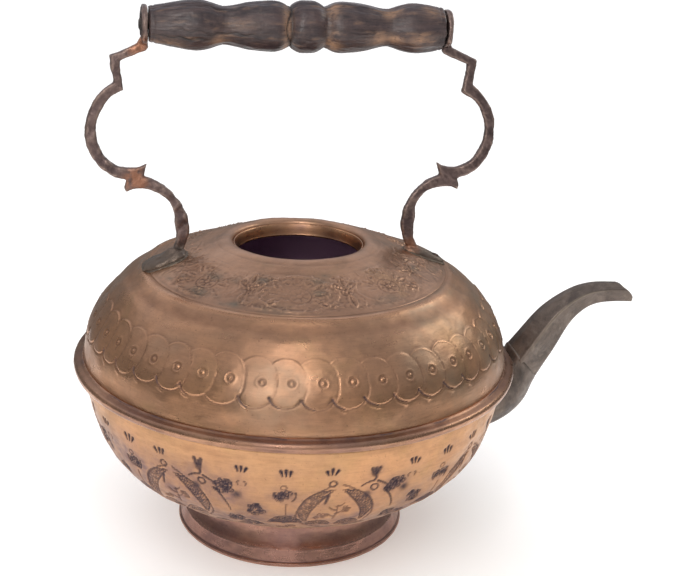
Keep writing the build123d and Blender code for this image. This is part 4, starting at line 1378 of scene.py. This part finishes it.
# ---- grip ------------------------------------------------------------------------------------------
GRIP_PROFILE = [  # distance from the bead's middle, radius
    (0.0, 13.6), (5.5, 12.9), (9.4, 11.0), (14.0, 12.5), (21.7, 13.1), (33.0, 11.7),
    (44.3, 9.9), (51.5, 12.0), (58.6, 13.0), (70.0, 11.6), (82.6, 9.2),
]
GRIP_BEAD_X = 0.5
GRIP_ENDS = (-82.6, 73.9)
GRIP_SEGMENTS = 200
GRIP_BORE_RADIUS = 2.7
GRIP_LINES = [  # turned grooves: (distance from the bead, depth, width)
    (-9.2, 0.9, 0.7), (9.4, 0.45, 0.8), (-10.9, 0.25, 0.45), (11.2, 0.2, 0.4),
    (-44.3, 0.12, 0.5), (44.3, 0.12, 0.5), (-80.4, 0.3, 0.5), (71.6, 0.25, 0.5),
]
TOWARDS_VIEWER = -math.pi / 2  # turn round the grip of the side that faces -Y
GRIP_WEAR = [  # paler places: (distance from the bead, turn from the top, length, width, strength)
    (12.0, TOWARDS_VIEWER - 0.7, 4.5, 6.0, 1.0),
    (12.5, TOWARDS_VIEWER + 0.9, 3.5, 5.0, 0.9),
    (-11.4, TOWARDS_VIEWER + 0.4, 2.2, 14.0, 0.9),
    (-11.4, TOWARDS_VIEWER - 0.9, 2.0, 7.0, 0.9),
    (38.0, TOWARDS_VIEWER - 0.5, 6.0, 4.5, 0.9),
    (46.0, TOWARDS_VIEWER - 0.45, 5.0, 3.6, 0.95),
    (44.0, TOWARDS_VIEWER + 0.9, 5.0, 4.0, 0.8),
    (60.0, TOWARDS_VIEWER - 0.4, 6.0, 3.0, 0.95),
    (66.0, TOWARDS_VIEWER + 0.95, 5.0, 4.0, 0.7),
    (-74.0, TOWARDS_VIEWER - 0.9, 7.0, 3.6, 0.9),
    (-47.0, TOWARDS_VIEWER - 0.7, 5.0, 4.0, 0.6),
    (-36.0, TOWARDS_VIEWER + 0.2, 7.0, 3.0, 0.45),
]


def grip_outline():
    """Closed outline as (x, r): the rear face, the turned side and the front face."""
    left = [(GRIP_BEAD_X - d, r) for d, r in GRIP_PROFILE[:0:-1]]
    right = [(GRIP_BEAD_X + d, r) for d, r in GRIP_PROFILE]
    shape = curve(left + right, 900)
    low, high = (GRIP_BEAD_X + e for e in GRIP_ENDS)
    shape = shape[(shape[:, 0] >= low) & (shape[:, 0] <= high)]
    rows = walk(shape, 0.75)
    front_face = [(high, r) for r in (rows[-1, 1] - 0.8, 6.0, GRIP_BORE_RADIUS)]
    rear_face = [(low, r) for r in (GRIP_BORE_RADIUS, 6.0, rows[0, 1] - 0.8)]
    rows[[0, -1], 1] -= 0.3
    return np.vstack([rear_face, rows, front_face])


def round_grip(phi, turn):
    """Distance in mm round the grip from the line at a turn."""
    return np.abs((phi - turn + math.pi) % TAU - math.pi) * 12


def grip_cracks(x, phi):
    """Fine splits along the grain."""
    crack = np.zeros(np.broadcast(x, phi).shape)
    rng = np.random.default_rng(103)
    for _ in range(26):
        cx, a = rng.uniform(-78, 70), rng.uniform(0, TAU)
        length, depth = rng.uniform(4, 16), rng.uniform(0.1, 0.4)
        gap = round_grip(phi, a + 0.05 * np.sin((x - cx) * 0.7))
        crack += depth * np.exp(-(gap / 0.5) ** 2) * np.exp(-((x - cx) / length) ** 4)
    return crack


def grip_worn(x, phi):
    """Share of rubbed, paler wood at each place."""
    worn = np.zeros(np.broadcast(x, phi).shape)
    for place, turn, long, wide, strength in GRIP_WEAR:
        gap = round_grip(phi, turn)
        rubbed = np.exp(-((x - GRIP_BEAD_X - place) / long) ** 2 - (gap / wide) ** 2)
        worn = np.maximum(worn, strength * rubbed)
    return np.clip(worn + 0.35 * np.clip(waves(phi, x, 105, 26) - 0.9, 0, 1), 0, 1)


def grip():
    """Turned wooden grip round the rod, on its own body."""
    outline = grip_outline()
    phi = full_turn(GRIP_SEGMENTS)
    x = outline[:, :1]
    # x is the long direction here; phi 0 is up and grows towards +Y
    uneven = waves(phi, x, 101, 60) * 0.14 + waves(phi, x, 102, 14) * 0.05
    lines = np.zeros(x.shape)
    for place, depth, width in GRIP_LINES:
        lines += depth * np.exp(-((x - GRIP_BEAD_X - place) / width) ** 2)
    turning = 0.03 * np.sin(x * 5.2) + 0.02 * np.sin(x * 8.9 + 1)
    crack = grip_cracks(x, phi)
    # check that runs across the neck left of the bead
    gap = np.abs(x - GRIP_BEAD_X + 10.6 + 1.3 * np.sin(3 * phi))
    neck = 0.5 * np.exp(-(gap / 0.45) ** 2) * smoothstep(-0.2, 0.5, np.cos(phi + 1.35))
    body = np.zeros((len(outline), 1))
    body[3:-3] = 1
    relief = (uneven - lines + turning - crack - neck) * body
    fields = {
        "hollow": np.clip((lines * 0.7 + crack * 2.2 + neck * 2.0), 0, 1) * body,
        "crest": np.zeros(relief.shape),
        "worn": grip_worn(x, phi),
    }
    # turned() wants (r, along) and an outline that runs with its outer side to the right
    piece = turned("turned_grip", outline[:, ::-1], GRIP_SEGMENTS, relief, fields, "X")
    piece.data.transform(Matrix.Translation((0, 0, GRIP_HEIGHT * MM)))
    return piece


# ---- camera, light and floor ---------------------------------------------------------------------
CAMERA_PLACE = (-113.6, -678.8, 379.8)
CAMERA_TURN = (11.36, -19.08, 2.47)  # heading from +Y, pitch and roll, in degrees
CAMERA_LENS = 68.86  # mm on a sensor 36 mm wide
CARD_RADIUS = 460.0
CARD_HEIGHT = 330.0
CARD_GREY = (0.25, 0.25, 0.25, 1)
CARD_BRIGHT = (0.40, 0.38, 0.37, 1)
LIT_POINT = (0, 0, 0.12)  # metres
ROOM_BEHIND = 1.7  # how much brighter the room is on the far side of the kettle


def add_camera():
    """Camera in front of the kettle, a little to the handle's rear side, looking down and rolled."""
    heading, pitch, roll = (math.radians(a) for a in CAMERA_TURN)
    forward = Vector((
        math.sin(heading) * math.cos(pitch),
        math.cos(heading) * math.cos(pitch),
        math.sin(pitch),
    ))
    right = Vector((math.cos(heading), -math.sin(heading), 0))
    up = right.cross(forward)
    across = right * math.cos(roll) + up * math.sin(roll)
    upright = up * math.cos(roll) - right * math.sin(roll)
    camera = bpy.data.objects.new("camera", bpy.data.cameras.new("camera"))
    camera.data.lens = CAMERA_LENS
    camera.data.sensor_width = 36.0
    camera.data.clip_start = 0.01
    turn = Matrix((across, upright, -forward)).transposed().to_4x4()
    camera.matrix_world = Matrix.Translation(Vector(CAMERA_PLACE) * MM) @ turn
    bpy.context.scene.collection.objects.link(camera)
    bpy.context.scene.camera = camera


def add_light(name, place, size, power, color):
    """Rectangular lamp at a place in metres, aimed at the kettle's middle."""
    light = bpy.data.lights.new(name, "AREA")
    light.shape = "RECTANGLE"
    light.size, light.size_y = size
    light.energy = power
    light.color = color
    lamp = bpy.data.objects.new(name, light)
    lamp.location = place
    lamp.rotation_euler = (Vector(LIT_POINT) - Vector(place)).to_track_quat("-Z", "Y").to_euler()
    bpy.context.scene.collection.objects.link(lamp)


def floor():
    """Pale round floor that glows a little, as an overexposed table does."""
    bm = bmesh.new()
    bmesh.ops.create_circle(bm, cap_ends=True, radius=9.0, segments=96)
    mesh = bpy.data.meshes.new("floor")
    bm.to_mesh(mesh)
    bm.free()
    piece = bpy.data.objects.new("floor", mesh)
    bpy.context.scene.collection.objects.link(piece)
    paint = Paint("floor")
    grain = paint.ramp(paint.noise(14.0, 5.0, 0.6), 0.3, 0.7)
    color = paint.mix(grain, linear(252, 250, 247), linear(247, 245, 241))
    glow = {"Emission_Color": (1.0, 0.985, 0.965, 1), "Emission_Strength": 0.16}
    piece.data.materials.append(paint.finish(color, 0.7, 0.0, Specular_IOR_Level=0.0, **glow))
    return piece


def card_ring():
    """Ring that only reflections see: it keeps the kettle's edges from mirroring a white horizon."""
    angle = np.arange(96) * TAU / 96
    foot_row = np.stack([CARD_RADIUS * np.cos(angle), CARD_RADIUS * np.sin(angle), 0 * angle], axis=1)
    top_row = foot_row + np.array([0, 0, CARD_HEIGHT])
    card = make_mesh("card_ring", np.vstack([foot_row, top_row]), grid_faces(2, 96, False))
    paint = Paint("card")
    split = paint.node("ShaderNodeSeparateXYZ", Vector=paint.place)
    facing = paint.math("DIVIDE", split.outputs["Y"], -CARD_RADIUS * MM)
    glow = paint.mix(paint.ramp(facing, 0.80, 0.99), CARD_GREY, CARD_BRIGHT)
    paint.feed(paint.shader.inputs["Emission Color"], glow)
    black = paint.finish(linear(0, 0, 0), 1.0, 0.0, Emission_Strength=1.0, Specular_IOR_Level=0.0)
    card.data.materials.append(black)
    for ray in ("camera", "diffuse", "shadow", "transmission", "volume_scatter"):
        setattr(card, f"visible_{ray}", False)
    return card


def add_room():
    """World that is paler at its horizon and brighter behind the kettle."""
    world = bpy.data.worlds.new("room")
    bpy.context.scene.world = world
    world.use_nodes = True
    tree = world.node_tree
    room = tree.nodes["Background"]
    place, split, ramp, behind = (
        tree.nodes.new(f"ShaderNode{kind}") for kind in ("TexCoord", "SeparateXYZ", "ValToRGB", "MapRange")
    )
    for source, out, target, socket in (
        (place, "Generated", split, "Vector"),
        (split, "Z", ramp, "Fac"),
        (split, "Y", behind, "Value"),
        (ramp, "Color", room, "Color"),
        (behind, "Result", room, "Strength"),
    ):
        tree.links.new(source.outputs[out], target.inputs[socket])
    for key, number in (("From Min", -0.1), ("From Max", 0.5), ("To Min", 1.0), ("To Max", ROOM_BEHIND)):
        behind.inputs[key].default_value = number
    stops = ramp.color_ramp.elements
    stops[0].position, stops[0].color = 0.0, (0.80, 0.80, 0.79, 1)
    stops[1].position, stops[1].color = 1.0, (0.44, 0.45, 0.49, 1)
    for position, color in ((0.15, (0.62, 0.62, 0.64, 1)), (0.45, (0.44, 0.45, 0.49, 1))):
        stops.new(position).color = color


def add_daylight():
    """Very soft sun that leaves no reflection of its own."""
    sun = bpy.data.lights.new("daylight", "SUN")
    sun.energy = 1.42
    sun.angle = math.radians(110)
    daylight = bpy.data.objects.new("daylight", sun)
    daylight.rotation_euler = Vector((-0.45, 0.1, 0.85)).to_track_quat("Z", "Y").to_euler()
    daylight.visible_glossy = False
    bpy.context.scene.collection.objects.link(daylight)


def add_windows():
    """Soft windows: a tall pair for the highlights down the front, and one at each side."""
    add_light("window", (-0.20, -0.71, 1.07), (0.20, 0.95), 2.2, (1.0, 0.97, 0.93))
    add_light("low window", (-0.30, -0.83, 0.36), (0.16, 0.50), 2.6, (1.0, 0.96, 0.93))
    add_light("side window", (1.05, 0.22, 0.72), (0.6, 0.6), 2.5, (0.97, 1.0, 0.94))
    add_light("left window", (-1.3, 0.1, 0.5), (0.4, 0.6), 1.2, (1.0, 0.95, 0.95))


# ---- assembly --------------------------------------------------------------------------------------
def show(piece, body, nodes, material):
    piece.data.materials.clear()
    piece.data.materials.append(material)
    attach(piece, body)
    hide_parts(*nodes)


bpy.context.scene.view_settings.view_transform = "Standard"
add_camera()
floor()
card_ring()
add_room()
add_daylight()
add_windows()

DOME_COPPER = copper(
    "embossed_copper", (186, 143, 113), (206, 156, 120), (120, 90, 74), 0.32, 0.4, 0.5, (158, 138, 118)
)
SHOULDER_COPPER = copper(
    "shoulder_copper", (182, 142, 116), (200, 156, 126), (126, 104, 90), 0.36, 0.55, 0.6, (118, 118, 106)
)
BOWL_COPPER = copper("chased_copper", (194, 150, 111), (207, 157, 115), (128, 94, 78), 0.36, 0.35)
SEAM_COPPER = copper("seam_copper", (166, 126, 104), (198, 152, 122), (92, 68, 60), 0.30)
COLLAR_COPPER = copper("collar_copper", (176, 134, 104), (200, 152, 114), (92, 68, 58), 0.30)
FOOT_COPPER = copper("foot_copper", (164, 125, 112), (192, 148, 128), (98, 75, 72), 0.25)
SPOUT_METAL = forged("spout_metal", (120, 107, 98), (92, 83, 78), (144, 131, 118), (150, 104, 80), 0.44)
ARM_METAL = forged("arm_metal", (116, 98, 94), (84, 70, 69), (150, 130, 120), (172, 120, 92), 0.42)
PAD_METAL = forged("pad_metal", (112, 98, 84), (84, 72, 62), (130, 112, 96), (150, 104, 80), 0.48)
RIVET_COPPER = forged("rivet_copper", (120, 96, 82), (84, 66, 58), (158, 128, 106), (176, 122, 92), 0.42)
IRON = forged("iron", (88, 80, 76), (58, 52, 50), (116, 108, 102), (110, 76, 58), 0.45)
WOOD = wood("grip_wood")

show(dome(), "kettle", ["upper_shell"], DOME_COPPER)
show(shoulder(), "kettle", [], SHOULDER_COPPER)
show(bowl(), "kettle", ["lower_bowl"], BOWL_COPPER)
show(folded_seam(), "kettle", ["seam_band"], SEAM_COPPER)
show(collar(), "kettle", ["mouth_collar"], COLLAR_COPPER)
show(foot(), "kettle", ["ring_foot"], FOOT_COPPER)
show(spout_root(), "kettle", ["spout_root"], SPOUT_METAL)
show(spout_beak(), "kettle", ["spout_beak"], SPOUT_METAL)
for side_, place_ in SIDE_NAMES.items():
    show(arm(side_), "kettle", [f"{place_}_arm"], ARM_METAL)
    show(pad(side_), "kettle", [f"{place_}_foot_pad"], PAD_METAL)
show(grip(), "grip", ["wooden_grip"], WOOD)

CARRIED_OVER = {
    RIVET_COPPER: ["rear_foot_rivets", "front_foot_rivets", "rear_rivet_roves", "front_rivet_roves"],
    IRON: ["grip_rod", "rear_rod_washer", "front_rod_washer", "foot_rim_wire"],
}
for material_, nodes_ in CARRIED_OVER.items():
    for node in nodes_:
        piece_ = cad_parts[node]
        if len(piece_.data.materials) == 0:
            piece_.data.materials.append(None)
        for slot_ in piece_.material_slots:
            slot_.material = material_
